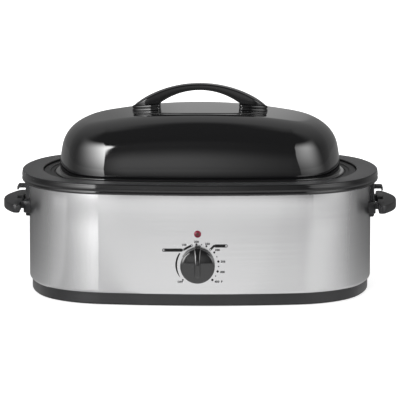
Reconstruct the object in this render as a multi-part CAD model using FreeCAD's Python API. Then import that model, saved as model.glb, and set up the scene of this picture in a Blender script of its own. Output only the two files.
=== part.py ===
"""Countertop electric roaster oven: heated well in a steel wrap, lift-out pan and rack, lift-off domed lid.

Millimetres, +Z up, -Y towards the control knob, origin on the table under the middle of the body.
Every wall follows one plan outline, so a wall's place is its inset from the steel wrap's outer face.
"""
import FreeCAD, Part
import math
import os

V = FreeCAD.Vector
ORIGIN = V(0, 0, 0)
X_AXIS = V(1, 0, 0)
Y_AXIS = V(0, 1, 0)
Z_AXIS = V(0, 0, 1)
TINY = 1e-6
FIT = 0.05                      # radial clearance of a screw, shaft or pin in its hole

# ---- plan outline of the steel wrap -------------------------------------------------------------
BODY_HALF_LENGTH = 265.0
BODY_HALF_DEPTH = 184.0
SIDE_RADIUS = 920.0             # long front and back arcs
END_RADIUS = 252.0              # arcs at the two ends
CORNER_RADIUS = 127.0

# ---- base ---------------------------------------------------------------------------------------
BASE_GAP = 1.5                  # base ring above the table
BASE_RING_HEIGHT = 17.2
BASE_RING_WALL = 4.0
BASE_RING_INSET = 4.0
BASE_EDGE_RADIUS = 2.5
BASE_SHELF_WIDTH = 16.0
BASE_SHELF_THICKNESS = 3.0
BASE_POST_INSET = 14.0
BASE_POST_RADIUS = 4.0
FOOT_HEIGHT = 6.0
FOOT_RADIUS = 14.0
FOOT_INSET_X = 89.0             # from the middle of an end arc
FOOT_INSET_Y = 76.0
FOOT_RECESS_RADIUS = 6.0
FOOT_RECESS_DEPTH = 3.2
BOTTOM_PLATE_WALL = 1.0
BOTTOM_PLATE_GAP = 0.3
VENT_LENGTH = 44.0
VENT_WIDTH = 4.0
VENT_PITCH_X = 60.0
VENT_PITCH_Y = 16.0
VENT_COLUMNS = 4
VENT_ROWS = 3

# ---- steel wrap ---------------------------------------------------------------------------------
SHELL_HEIGHT = 166.1
SHELL_WALL = 1.0
SHELL_ROLL_RADIUS = 5.0
SHELL_FLANGE = 14.0

# ---- top rim ------------------------------------------------------------------------------------
RIM_OVERHANG = 11.3
RIM_WALL = 2.5
RIM_SKIRT = 16.9
RIM_OPENING_INSET = 22.0
RIM_TOP_RADIUS = 2.0
RIM_SKIRT_RADIUS = 5.0
RIM_EDGE_RADIUS = 1.0
RIM_SHELL_GAP = 0.2
RIM_POST_INSET = 10.0
RIM_POST_RADIUS = 4.0

# ---- liner (heated well) ------------------------------------------------------------------------
LINER_WALL = 0.8
LINER_SEAT_DEPTH = 7.0          # top of its flange below the rim's top
LINER_TOP_INSET = 44.0
LINER_BOTTOM_INSET = 51.0
LINER_FLOOR_GAP = 17.5          # under the liner, above the bottom plate
LINER_EDGE_RADIUS = 3.0
LINER_CORNER_RADIUS = 20.0

# ---- roasting pan -------------------------------------------------------------------------------
PAN_WALL = 1.0
PAN_EDGE_GAP = 0.6              # round the flange, inside the rim's opening
PAN_EDGE_HEIGHT = 4.0
PAN_EDGE_RADIUS = 1.5
PAN_STEP_HEIGHT = 1.5
PAN_STEP_RUN = 1.2
PAN_STEP_INSETS = (33.0, 38.6)
PAN_TOP_INSET = 49.0
PAN_BOTTOM_INSET = 59.0
PAN_LIP_RADIUS = 4.0
PAN_CORNER_RADIUS = 22.0
PAN_FLOOR_GAP = 4.7             # under the pan, above the liner's floor

# ---- rack ---------------------------------------------------------------------------------------
RACK_INSET = 76.0
RACK_HEIGHT = 13.0              # frame wire's centre above the pan's floor
RACK_FRAME_RADIUS = 2.5
RACK_WIRE_RADIUS = 1.5
RACK_WIRE_PITCH = 26.0
RACK_WIRE_END_GAP = 31.0        # clear of the frame's curved ends
RACK_WELD = 0.2                 # overlap of welded wires
RACK_FLOOR_GAP = 0.3
RACK_RUNNER_INSET = 79.0        # from the frame's end
RACK_RUNNER_RADIUS = 2.0
RACK_RUNNER_SHOULDER = 26.0
RACK_HANDLE_HALF_WIDTH = 42.0
RACK_HANDLE_HEIGHT = 70.0
RACK_BEND_RADIUS = 14.0

# ---- lid ----------------------------------------------------------------------------------------
LID_WALL = 1.0
LID_LIP_INSET = 41.0
LID_LIP_HEIGHT = 2.7
LID_LIP_RADIUS = 1.2
LID_INSET = 48.0
LID_FOOT_HEIGHT = 6.7           # from the pan's flange to the start of the dome
LID_FOOT_RADIUS = 3.5
LID_DRAFT = 1.0 / 12.0
LID_HEIGHT = 99.7               # from the pan's flange to the crown
LID_CROWN_RADIUS = 900.0
LID_SHOULDER_RADIUS = 50.0
LID_PAD_HALF_LENGTH = 84.0
LID_PAD_HALF_DEPTH = 74.0
LID_PAD_HEIGHT = 1.0

# ---- lid handle ---------------------------------------------------------------------------------
HANDLE_RISE = 37.5              # from the crown to the top of the arch
HANDLE_OUTER_RADIUS = 170.0
HANDLE_INNER_RADIUS = 105.0
HANDLE_GRIP_THICKNESS = 9.4
HANDLE_SEAT = 9.0               # underside of the arch's ends above the dome, and as curved
HANDLE_HALF_WIDTH = 11.5
HANDLE_FLARE_RADIUS = 306.0
HANDLE_EDGE_RADIUS = 1.6
HANDLE_FOOT_INNER = 62.0
HANDLE_FOOT_OUTER = 104.0
HANDLE_FOOT_HALF_WIDTH = 29.0
HANDLE_FOOT_CORNER = 20.0
HANDLE_FOOT_INNER_CORNER = 7.7
HANDLE_FOOT_GROOVE = 1.4
HANDLE_SCREW_X = 84.0
HANDLE_SCREW_RADIUS = 2.5
HANDLE_SCREW_HEAD_RADIUS = 5.0
HANDLE_SCREW_HEAD_HEIGHT = 3.4
HANDLE_SCREW_COVER = 1.6
HANDLE_WASHER_RADIUS = 8.0
HANDLE_WASHER_THICKNESS = 1.2

# ---- side handles -------------------------------------------------------------------------------
SIDE_PLATE_THICKNESS = 6.3      # outside the wrap, at the middle of the end
SIDE_PLATE_TOP_HALF_WIDTH = 38.0
SIDE_PLATE_HALF_WIDTH = 56.0
SIDE_PLATE_HEIGHT = 55.5
SIDE_PLATE_RIM_GAP = 0.9
SIDE_BLOCK_HALF_WIDTH = 61.0
SIDE_BLOCK_DROP = 25.5          # drops are measured from the back plate's top edge
SIDE_BLOCK_HEIGHT = 18.0
SIDE_BLOCK_LENGTH = 15.0
GRIP_DROP = 28.0
GRIP_THICKNESS = 13.5
GRIP_GAP = 3.9                  # between the back plate and the tab
GRIP_WIDTH = 29.8
GRIP_HALF_WIDTH = 78.0
GRIP_OUTER_RADIUS = 162.0
GRIP_CORNER_RADIUS = 13.0
GRIP_EDGE_RADIUS = 2.5
GRIP_NOTCH_DEPTH = 8.5
GRIP_NOTCH_HALF_WIDTH = 13.5
GRIP_ARM_INNER_Y = 42.0
GRIP_ARM_OUTER_Y = 60.0
GRIP_ARM_ARCH_RADIUS = 2.0
HOOK_DROP = 8.9
HOOK_THICKNESS = 3.8
HOOK_REACH = 12.7
HOOK_LIP = 3.2
HOOK_HALF_WIDTH = 12.5
SIDE_SCREW_Y = 30.0
SIDE_SCREW_DROP = 35.5
SIDE_SCREW_RADIUS = 2.0
SIDE_SCREW_HEAD_RADIUS = 4.0
SIDE_SCREW_HEAD_HEIGHT = 2.6
SIDE_SCREW_TIP_COVER = 1.5

# ---- small screws -------------------------------------------------------------------------------
SCREW_RADIUS = 1.5
SCREW_HEAD_RADIUS = 3.2
SCREW_HEAD_HEIGHT = 1.8
SCREW_BITE = 5.0
SCREW_COVER = 1.0

# ---- controls on the front ----------------------------------------------------------------------
CONTROL_RISE = 46.1             # knob's axis above the wrap's lower edge
KNOB_RADIUS = 26.2
KNOB_GAP = 3.0                  # knob's back edge in front of the steel
KNOB_SKIRT = 12.0
KNOB_DOME = 2.6
KNOB_EDGE_RADIUS = 2.2
KNOB_WALL = 2.4
KNOB_RIDGE_RISE = 5.6
KNOB_RIDGE_TOP = 28.0
KNOB_RIDGE_BOTTOM = 17.5
KNOB_RIDGE_TOP_HALF_WIDTH = 5.2
KNOB_RIDGE_BOTTOM_HALF_WIDTH = 3.6
KNOB_RIDGE_EDGE_RADIUS = 1.2
KNOB_BOSS_RADIUS = 6.5
SHAFT_RADIUS = 3.0
SHAFT_FLAT = 1.0
SHAFT_HOLE_RADIUS = 5.0
SHAFT_DEPTH = 14.0              # into the thermostat
SHAFT_TIP_COVER = 3.0
CLIP_THICKNESS = 0.8
THERMOSTAT_HALF_WIDTH = 17.0
THERMOSTAT_HALF_HEIGHT = 14.0
THERMOSTAT_LENGTH = 24.0
BRACKET_THICKNESS = 1.5
BRACKET_HALF_WIDTH = 22.0
BRACKET_HALF_HEIGHT = 17.0
BRACKET_SCREW_X = 13.0
LAMP_RISE = 47.2                # above the knob's axis
LAMP_LENS_RADIUS = 5.4
LAMP_LENS_EDGE = 0.4
LAMP_LENS_RISE = 2.0
LAMP_NECK_RADIUS = 4.2
LAMP_NECK_LENGTH = 16.0
LAMP_BORE_RADIUS = 3.0
LAMP_BULB_RADIUS = 2.6
LAMP_BULB_LENGTH = 13.0
LAMP_CLIP_RADIUS = 8.0
LAMP_CLIP_THICKNESS = 0.8

# ---- heating ------------------------------------------------------------------------------------
ELEMENT_RADIUS = 3.3
ELEMENT_RISES = (20.7, 44.7)    # above the liner's floor
ELEMENT_WALL_GAP = 0.3
ELEMENT_END_X = 34.0
ELEMENT_PIN_RADIUS = 1.6
ELEMENT_PIN_LENGTH = 11.0
ELEMENT_CLIP_THICKNESS = 1.0
ELEMENT_CLIP_WIDTH = 12.0
ELEMENT_CLIP_MARGIN = 5.0
JUMPER_HALF_WIDTH = 3.0
INSULATION_THICKNESS = 14.0
INSULATION_GAP = 1.0
INSULATION_RISE = 6.7           # above the liner's floor
INSULATION_TOP_GAP = 14.3       # below the liner's flange
WINDOW_HALF_WIDTH = 86.0
WINDOW_MARGIN = 16.0            # above the lamp, and above the cord gland
SHIELD_WALL = 0.8
SHIELD_INSET = 66.0
SHIELD_HEIGHT = 8.0
SHIELD_EDGE_RADIUS = 3.0
STUD_RADIUS = 2.5
STUD_X = 112.0
STUD_COLUMNS = 3
STUD_NUT_RADIUS = 4.6
STUD_NUT_HEIGHT = 3.4
FUSE_RISE = 16.0                # above the upper rod
FUSE_RADIUS = 4.0
FUSE_LENGTH = 20.0
FUSE_STRAP_WIDTH = 7.0
FUSE_STRAP_THICKNESS = 0.8
FUSE_STRAP_FOOT = 7.0

# ---- mains entry on the back --------------------------------------------------------------------
ENTRY_RISE = 23.3               # above the wrap's lower edge
GLAND_FLANGE_RADIUS = 11.0
GLAND_FLANGE_THICKNESS = 3.0
GLAND_NECK_RADIUS = 7.5
GLAND_NECK_LENGTH = 10.0
GLAND_SLEEVE_RADIUS = 8.0
GLAND_TIP_RADIUS = 5.6
GLAND_BORE_RADIUS = 3.6
GLAND_NUT_RADIUS = 11.5
GLAND_NUT_THICKNESS = 4.0
BLOCK_X = -44.0
BLOCK_HALF_WIDTH = 18.0
BLOCK_HALF_HEIGHT = 8.0
BLOCK_DEPTH = 15.0
BLOCK_SCREW_X = 13.5
BLOCK_WIRE_RADIUS = 1.8
BLOCK_WIRE_X = 6.0
EARTH_X = 40.0
EARTH_NUT_RADIUS = 4.4
EARTH_NUT_THICKNESS = 3.0
EARTH_SCREW_LENGTH = 12.0
LEAD_RADIUS = 1.3
LEAD_BEND_RADIUS = 9.0
LEAD_RISE = 2.2                 # centre line above the wrap's bottom flange
LAMP_LEAD_RADIUS = 0.7

# ---- heights and places that follow from the sizes above ------------------------------------------
SHELL_BOTTOM = BASE_GAP + BASE_RING_HEIGHT
DECK_UNDERSIDE = SHELL_BOTTOM + SHELL_HEIGHT
RIM_TOP = DECK_UNDERSIDE + RIM_WALL
RIM_BOTTOM = RIM_TOP - RIM_SKIRT
LINER_SEAT = RIM_TOP - LINER_SEAT_DEPTH
BOTTOM_PLATE_TOP = FOOT_HEIGHT + BOTTOM_PLATE_WALL
LINER_FLOOR = BOTTOM_PLATE_TOP + LINER_FLOOR_GAP + LINER_WALL
LINER_LEAN = math.atan((LINER_BOTTOM_INSET - LINER_TOP_INSET) / (LINER_SEAT - LINER_FLOOR))
PAN_SEAT = LINER_SEAT + PAN_WALL        # upper face of the flange's innermost step
PAN_FLOOR = LINER_FLOOR + PAN_FLOOR_GAP + PAN_WALL
LID_SEAT = PAN_SEAT
LID_CROWN = LID_SEAT + LID_HEIGHT
HANDLE_TOP = LID_CROWN + HANDLE_RISE
SIDE_TOP = RIM_BOTTOM - SIDE_PLATE_RIM_GAP
SIDE_PLATE_BOTTOM = SIDE_TOP - SIDE_PLATE_HEIGHT
SIDE_PLATE_OUTER_X = BODY_HALF_LENGTH + SIDE_PLATE_THICKNESS
SIDE_BLOCK_TOP = SIDE_TOP - SIDE_BLOCK_DROP
SIDE_BLOCK_BOTTOM = SIDE_BLOCK_TOP - SIDE_BLOCK_HEIGHT
SIDE_SCREW_Z = SIDE_TOP - SIDE_SCREW_DROP
GRIP_TOP = SIDE_TOP - GRIP_DROP
GRIP_BOTTOM = GRIP_TOP - GRIP_THICKNESS
GRIP_INNER_X = SIDE_PLATE_OUTER_X + GRIP_GAP
GRIP_OUTER_X = GRIP_INNER_X + GRIP_WIDTH
HOOK_TOP = SIDE_TOP - HOOK_DROP
HOOK_REACH_X = SIDE_PLATE_OUTER_X + HOOK_REACH
CONTROL_Z = SHELL_BOTTOM + CONTROL_RISE
LAMP_Z = CONTROL_Z + LAMP_RISE
ENTRY_Z = SHELL_BOTTOM + ENTRY_RISE
ELEMENT_HEIGHTS = tuple(LINER_FLOOR + rise for rise in ELEMENT_RISES)
FUSE_BOTTOM = ELEMENT_HEIGHTS[-1] + FUSE_RISE
RACK_RUNNER_X = BODY_HALF_LENGTH - RACK_INSET - RACK_RUNNER_INSET
SHELL_INNER = -SHELL_WALL
CORE_INSET = CORNER_RADIUS - 17.0       # flat middles start here, where the corner arcs are still wide
KNOB_FRONT = BODY_HALF_DEPTH + KNOB_GAP + KNOB_SKIRT + KNOB_RIDGE_RISE + KNOB_DOME
KNOB_FACE = BODY_HALF_DEPTH + KNOB_GAP + KNOB_SKIRT
PIN_MIDDLE_X = ELEMENT_END_X - ELEMENT_PIN_LENGTH / 2
LEAD_Z = SHELL_BOTTOM + SHELL_WALL + LEAD_RISE
LEAD_OFFSET = -BLOCK_DEPTH / 2 - SHELL_WALL


# ---- outline, sections and paths ----------------------------------------------------------------
def outline_arcs():
    """The eight tangent arcs of the outline as (centre, radius, first angle, last angle)."""
    side = V(0, BODY_HALF_DEPTH - SIDE_RADIUS, 0)
    end = V(BODY_HALF_LENGTH - END_RADIUS, 0, 0)
    to_side = SIDE_RADIUS - CORNER_RADIUS
    to_end = END_RADIUS - CORNER_RADIUS
    between = end - side
    along = (to_side ** 2 - to_end ** 2 + between.Length ** 2) / (2 * between.Length)
    unit = between / between.Length
    corner = side + unit * along + V(unit.y, -unit.x, 0) * math.sqrt(to_side ** 2 - along ** 2)
    end_turn = math.atan2(corner.y, corner.x - end.x)
    side_turn = math.atan2(corner.y - side.y, corner.x)
    half = math.pi
    return [
        (end, END_RADIUS, -end_turn, end_turn),
        (corner, CORNER_RADIUS, end_turn, side_turn),
        (side, SIDE_RADIUS, side_turn, half - side_turn),
        (V(-corner.x, corner.y, 0), CORNER_RADIUS, half - side_turn, half - end_turn),
        (-end, END_RADIUS, half - end_turn, half + end_turn),
        (-corner, CORNER_RADIUS, half + end_turn, half + side_turn),
        (-side, SIDE_RADIUS, half + side_turn, 2 * half - side_turn),
        (V(corner.x, -corner.y, 0), CORNER_RADIUS, 2 * half - side_turn, 2 * half - end_turn),
    ]


ARCS = outline_arcs()
RIGHT_END, BACK_RIGHT, BACK, BACK_LEFT, LEFT_END, FRONT_LEFT, FRONT, FRONT_RIGHT = range(8)


def arc_edge(arc, offset, z, first=None, last=None):
    centre, radius, start, stop = arc
    start = math.degrees(start if first is None else first)
    stop = math.degrees(stop if last is None else last)
    return Part.makeCircle(radius + offset, centre + V(0, 0, z), Z_AXIS, start, stop)


def slab(offset, bottom, top):
    """The whole outline, grown by the offset, between two heights."""
    edges = [arc_edge(arc, offset, bottom) for arc in ARCS]
    return Part.Face(Part.Wire(edges)).extrude(V(0, 0, top - bottom))


def sector(section, arc, first=None, last=None):
    """A section of (offset, height) turned along one arc of the outline, or along a part of it."""
    centre, radius, start, stop = arc
    start = start if first is None else first
    stop = stop if last is None else last
    turned = section.copy()
    turned.translate(V(radius, 0, 0))
    turned.rotate(ORIGIN, Z_AXIS, math.degrees(start))
    turned.translate(centre)
    return turned.revolve(centre, Z_AXIS, math.degrees(stop - start))


def joined(shapes):
    return shapes[0].multiFuse(shapes[1:]).removeSplitter() if len(shapes) > 1 else shapes[0]


def ring(section):
    """A section of (offset, height) carried once round the outline."""
    return joined([sector(section, arc) for arc in ARCS])


def arc_point(arc, angle, offset, z):
    centre, radius = arc[0], arc[1]
    return centre + V(math.cos(angle), math.sin(angle), 0) * (radius + offset) + V(0, 0, z)


def arc_middle(arc):
    return (arc[2] + arc[3]) / 2


def front_angle(x, offset):
    """The angle on the front arc at which the outline, grown by the offset, has this x."""
    return 1.5 * math.pi + math.asin(x / (SIDE_RADIUS + offset))


def back_angle(x, offset):
    return 0.5 * math.pi - math.asin(x / (SIDE_RADIUS + offset))


def arc_tangent(angle):
    return V(-math.sin(angle), math.cos(angle), 0)


def half_depth(x, offset):
    """From the middle line to the front or back face at x, for the outline grown by the offset."""
    return math.sqrt((SIDE_RADIUS + offset) ** 2 - x ** 2) - (SIDE_RADIUS - BODY_HALF_DEPTH)


def half_length(y, offset):
    """From the middle to an end's face at y, for the outline grown by the offset."""
    return math.sqrt((END_RADIUS + offset) ** 2 - y ** 2) + (BODY_HALF_LENGTH - END_RADIUS)


def rounded_edges(points, radii, closed=False):
    """Straight edges through the points, with a tangent arc of the given radius at each point."""
    count = len(points)
    corners = []
    for index, (point, radius) in enumerate(zip(points, radii)):
        is_end = not closed and index in (0, count - 1)
        if is_end or radius < TINY:
            corners.append((point, None, point))
            continue
        before = (points[index - 1] - point).normalize()
        after = (points[(index + 1) % count] - point).normalize()
        half = before.getAngle(after) / 2
        reach = radius / math.tan(half)
        middle = point + (before + after).normalize() * (radius / math.sin(half) - radius)
        corners.append((point + before * reach, middle, point + after * reach))
    edges = []
    for index in range(count if closed else count - 1):
        leaving = corners[index][2]
        arriving, middle, onward = corners[(index + 1) % count]
        if leaving.distanceToPoint(arriving) > TINY:
            edges.append(Part.LineSegment(leaving, arriving).toShape())
        if middle is not None:
            edges.append(Part.Arc(arriving, middle, onward).toShape())
    return edges


def section(points, radii):
    """A closed face of (offset, height) points with rounded corners."""
    corners = [V(offset, 0, height) for offset, height in points]
    return Part.Face(Part.Wire(rounded_edges(corners, radii, closed=True)))


def sheet(path, radii, wall):
    """A bent sheet's section: the path runs along one face and the sheet lies to its left."""
    points = [V(offset, 0, height) for offset, height in path]
    runs = [(after - before).normalize() for before, after in zip(points, points[1:])]
    normals = [V(-run.z, 0, run.x) for run in runs]
    far = [points[0] + normals[0] * wall]
    far_radii = [0]
    for index in range(1, len(points) - 1):
        left, right = normals[index - 1], normals[index]
        far.append(points[index] + (left + right) * (wall / (1 + left.dot(right))))
        bend = runs[index - 1].cross(runs[index]).y
        far_radii.append(max(radii[index] + math.copysign(1, bend) * wall, 0) if radii[index] else 0)
    far.append(points[-1] + normals[-1] * wall)
    far_radii.append(0)
    edges = rounded_edges(points + far[::-1], list(radii) + far_radii[::-1], closed=True)
    return Part.Face(Part.Wire(edges))


def tapered(low_offset, bottom, high_offset, top):
    """A solid block on the outline whose wall leans from one offset to the other."""
    wall = [(-CORE_INSET, bottom), (low_offset, bottom), (high_offset, top), (-CORE_INSET, top)]
    return joined([ring(section(wall, [0] * 4)), slab(-CORE_INSET, bottom, top)])


def rod(start, axis, radius, length):
    return Part.makeCylinder(radius, length, start, axis)


def box(low, high):
    size = V(*high) - V(*low)
    return Part.makeBox(size.x, size.y, size.z, V(*low))


def domed_disc(start, radius, length, rise):
    """A disc facing the front (-Y): a straight side of the given length, then a spherical face."""
    ball = (radius ** 2 + rise ** 2) / (2 * rise)
    half = math.asin(radius / ball) / 2
    edge = start + V(radius, -length, 0)
    nose = start - V(0, length + rise, 0)
    middle = nose + V(ball * math.sin(half), ball * (1 - math.cos(half)), 0)
    corners = [nose, start, start + V(radius, 0, 0), edge]
    lines = [Part.LineSegment(first, last).toShape() for first, last in zip(corners, corners[1:])]
    face = Part.Face(Part.Wire(lines + [Part.Arc(edge, middle, nose).toShape()]))
    return face.revolve(start, Y_AXIS, 360)


def hexagon(start, axis, across_corners, length):
    """A hexagonal prism whose corners lie on a circle of the given radius."""
    across = X_AXIS if abs(axis.x) < 0.5 else Y_AXIS
    sixth = FreeCAD.Rotation(axis, 60)
    corners = [across * across_corners]
    while len(corners) < 6:
        corners.append(sixth.multVec(corners[-1]))
    outline = Part.makePolygon([start + corner for corner in corners + corners[:1]])
    return Part.Face(outline).extrude(axis * length)


def screw(seat, axis, radius, length, head_radius, head_height):
    """A pan-head screw: the shank runs from the seat along the axis, the head stands behind it."""
    head = rod(seat - axis * head_height, axis, head_radius, head_height)
    rim = [edge for edge in head.Edges if (edge.CenterOfMass - (seat - axis * head_height)).Length < TINY]
    head = head.makeFillet(head_height * 0.45, rim)
    return joined([head, rod(seat, axis, radius, length)])


def wire_along(edges, radius):
    """A round wire or tube along tangent straight and curved edges."""
    path = Part.Wire(edges)
    start = path.OrderedVertexes[0].Point
    direction = path.OrderedEdges[0].tangentAt(path.OrderedEdges[0].FirstParameter)
    disc = Part.Wire(Part.makeCircle(radius, start, direction))
    return path.makePipeShell([disc], True, True)


def bent_wire(points, bend_radius, radius):
    return wire_along(rounded_edges(points, [bend_radius] * len(points)), radius)


def around_outline(make):
    """One copy of a small part at the middle of each of the outline's eight arcs."""
    return [make(arc, arc_middle(arc)) for arc in ARCS]


def both_ends(shape):
    """The shape and its mirror image across the middle of the body."""
    return [shape, shape.mirror(ORIGIN, X_AXIS)]


# ---- base ---------------------------------------------------------------------------------------
def base_post(arc, angle):
    start = arc_point(arc, angle, -BASE_POST_INSET, BOTTOM_PLATE_TOP)
    return rod(start, Z_AXIS, BASE_POST_RADIUS, SHELL_BOTTOM - BASE_SHELF_THICKNESS - BOTTOM_PLATE_TOP)


def plate_screw(arc, angle, radius=SCREW_RADIUS):
    seat = arc_point(arc, angle, -BASE_POST_INSET, FOOT_HEIGHT)
    return screw(seat, Z_AXIS, radius, BOTTOM_PLATE_WALL + SCREW_BITE, SCREW_HEAD_RADIUS, SCREW_HEAD_HEIGHT)


def base_ring():
    outer = -BASE_RING_INSET
    inner = outer - BASE_RING_WALL
    shelf = outer - BASE_SHELF_WIDTH
    under = SHELL_BOTTOM - BASE_SHELF_THICKNESS
    points = [(outer, SHELL_BOTTOM), (outer, BASE_GAP), (inner, BASE_GAP), (inner, under), (shelf, under),
              (shelf, SHELL_BOTTOM)]
    moulding = joined([ring(section(points, [0, BASE_EDGE_RADIUS, 0, 0, 0, 0]))] + around_outline(base_post))
    return moulding.cut(around_outline(lambda arc, angle: plate_screw(arc, angle, SCREW_RADIUS + FIT)))


def foot_places():
    x = BODY_HALF_LENGTH - FOOT_INSET_X
    y = BODY_HALF_DEPTH - FOOT_INSET_Y
    return [V(side_x * x, side_y * y, 0) for side_x in (-1, 1) for side_y in (-1, 1)]


def rubber_feet():
    foot = Part.makeCone(FOOT_RADIUS - 1.5, FOOT_RADIUS, FOOT_HEIGHT)
    foot = foot.cut(rod(ORIGIN, Z_AXIS, FOOT_RECESS_RADIUS, FOOT_RECESS_DEPTH))
    foot = foot.cut(rod(ORIGIN, Z_AXIS, SCREW_RADIUS + FIT, FOOT_HEIGHT))
    return [foot.translated(place) for place in foot_places()]


def foot_screw(place, radius=SCREW_RADIUS):
    seat = place + V(0, 0, FOOT_RECESS_DEPTH)
    length = BOTTOM_PLATE_TOP - FOOT_RECESS_DEPTH + SCREW_BITE
    return screw(seat, Z_AXIS, radius, length, SCREW_HEAD_RADIUS, SCREW_HEAD_HEIGHT)


def stud_places():
    middle = (STUD_COLUMNS - 1) / 2
    return [V((column - middle) * STUD_X, 0, 0) for column in range(STUD_COLUMNS)]


def vent_slots():
    slots = []
    for column in range(VENT_COLUMNS):
        for row in range(VENT_ROWS):
            for side in (-1, 1):
                x = (column - (VENT_COLUMNS - 1) / 2) * VENT_PITCH_X
                y = side * (VENT_PITCH_Y * (row + 1))
                low = (x - VENT_LENGTH / 2, y - VENT_WIDTH / 2, FOOT_HEIGHT)
                high = (x + VENT_LENGTH / 2, y + VENT_WIDTH / 2, BOTTOM_PLATE_TOP)
                slots.append(box(low, high))
    return slots


def bottom_plate():
    plate = slab(-BASE_RING_INSET - BASE_RING_WALL - BOTTOM_PLATE_GAP, FOOT_HEIGHT, BOTTOM_PLATE_TOP)
    plate = plate.cut(around_outline(lambda arc, angle: plate_screw(arc, angle, SCREW_RADIUS + FIT)))
    plate = plate.cut([foot_screw(place, SCREW_RADIUS + FIT) for place in foot_places()])
    plate = plate.cut([rod(place, Z_AXIS, STUD_RADIUS + FIT, BOTTOM_PLATE_TOP) for place in stud_places()])
    return plate.cut(vent_slots())


# ---- steel wrap and rim -------------------------------------------------------------------------
def control_point(x, z, depth):
    """A point in front of the wrap's frontmost line by the depth given."""
    return V(x, -BODY_HALF_DEPTH - depth, z)


def outer_shell():
    path = [(-SHELL_FLANGE, SHELL_BOTTOM), (0, SHELL_BOTTOM), (0, DECK_UNDERSIDE)]
    wrap = ring(sheet(path, [0, SHELL_ROLL_RADIUS, 0], SHELL_WALL))
    reach = 3 * SHELL_WALL
    holes = [rod(control_point(0, CONTROL_Z, reach), Y_AXIS, SHAFT_HOLE_RADIUS, 2 * reach)]
    holes.append(rod(control_point(0, LAMP_Z, reach), Y_AXIS, LAMP_NECK_RADIUS + FIT, 2 * reach))
    holes.append(rod(V(0, BODY_HALF_DEPTH + reach, ENTRY_Z), -Y_AXIS, GLAND_NECK_RADIUS + FIT, 2 * reach))
    holes += bracket_screws(SCREW_RADIUS + FIT) + block_screws(SCREW_RADIUS + FIT)
    holes += [earth_screw(SCREW_RADIUS + FIT)] + side_handle_screws(SIDE_SCREW_RADIUS + FIT)
    return wrap.cut(holes)


def rim_post(arc, angle):
    return rod(arc_point(arc, angle, -RIM_POST_INSET, LINER_SEAT), Z_AXIS, RIM_POST_RADIUS,
               DECK_UNDERSIDE - LINER_SEAT)


def rim_screw(arc, angle, radius=SCREW_RADIUS):
    seat = arc_point(arc, angle, -RIM_POST_INSET, LINER_SEAT - LINER_WALL)
    length = RIM_TOP - SCREW_COVER - seat.z
    return screw(seat, Z_AXIS, radius, length, SCREW_HEAD_RADIUS, SCREW_HEAD_HEIGHT)


def top_rim():
    skirt_inner = RIM_OVERHANG - RIM_WALL
    inner = -RIM_OPENING_INSET + RIM_WALL
    lip_top = RIM_BOTTOM + RIM_WALL
    points = [(RIM_SHELL_GAP, RIM_BOTTOM), (RIM_OVERHANG, RIM_BOTTOM), (RIM_OVERHANG, RIM_TOP),
              (-RIM_OPENING_INSET, RIM_TOP), (-RIM_OPENING_INSET, LINER_SEAT), (inner, LINER_SEAT),
              (inner, DECK_UNDERSIDE), (skirt_inner, DECK_UNDERSIDE), (skirt_inner, lip_top),
              (RIM_SHELL_GAP, lip_top)]
    radii = [0, RIM_SKIRT_RADIUS, RIM_TOP_RADIUS, RIM_EDGE_RADIUS, 0, 0, 0, 0, RIM_SKIRT_RADIUS - RIM_WALL, 0]
    moulding = joined([ring(section(points, radii))] + around_outline(rim_post))
    return moulding.cut(around_outline(lambda arc, angle: rim_screw(arc, angle, SCREW_RADIUS + FIT)))


# ---- liner, pan and rack ------------------------------------------------------------------------
def liner_offset(z):
    """The liner's inner face at a height, as an offset from the outline."""
    return -LINER_TOP_INSET - math.tan(LINER_LEAN) * (LINER_SEAT - z)


def liner_outer(z):
    return liner_offset(z) + LINER_WALL / math.cos(LINER_LEAN)


def liner():
    path = [(-SHELL_WALL, LINER_SEAT), (-LINER_TOP_INSET, LINER_SEAT), (-LINER_BOTTOM_INSET, LINER_FLOOR),
            (-CORE_INSET, LINER_FLOOR)]
    wall = ring(sheet(path, [0, LINER_EDGE_RADIUS, LINER_CORNER_RADIUS, 0], LINER_WALL))
    well = joined([wall, slab(-CORE_INSET, LINER_FLOOR - LINER_WALL, LINER_FLOOR)])
    return well.cut(around_outline(lambda arc, angle: rim_screw(arc, angle, SCREW_RADIUS + FIT)))


def liner_body():
    """The space that the liner's outer face encloses, for seating parts against it."""
    floor = LINER_FLOOR - LINER_WALL
    return tapered(liner_outer(floor), floor, liner_outer(LINER_SEAT), LINER_SEAT)


def roasting_pan():
    first, second = PAN_STEP_INSETS
    edge = -RIM_OPENING_INSET - PAN_EDGE_GAP
    top = LINER_SEAT + PAN_EDGE_HEIGHT
    shelf = PAN_SEAT + PAN_STEP_HEIGHT
    path = [(edge, LINER_SEAT), (edge, top), (-first, top), (-first - PAN_STEP_RUN, shelf), (-second, shelf),
            (-second - PAN_STEP_RUN, PAN_SEAT), (-PAN_TOP_INSET, PAN_SEAT), (-PAN_BOTTOM_INSET, PAN_FLOOR),
            (-CORE_INSET, PAN_FLOOR)]
    radii = [0, PAN_EDGE_RADIUS, 0, 0, 0, 0, PAN_LIP_RADIUS, PAN_CORNER_RADIUS, 0]
    wall = ring(sheet(path, radii, PAN_WALL))
    return joined([wall, slab(-CORE_INSET, PAN_FLOOR - PAN_WALL, PAN_FLOOR)])


def rack_frame():
    height = PAN_FLOOR + RACK_HEIGHT
    circle = Part.makeCircle(RACK_FRAME_RADIUS, V(-RACK_INSET, 0, height), Y_AXIS)
    return ring(Part.Face(Part.Wire(circle)))


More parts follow.
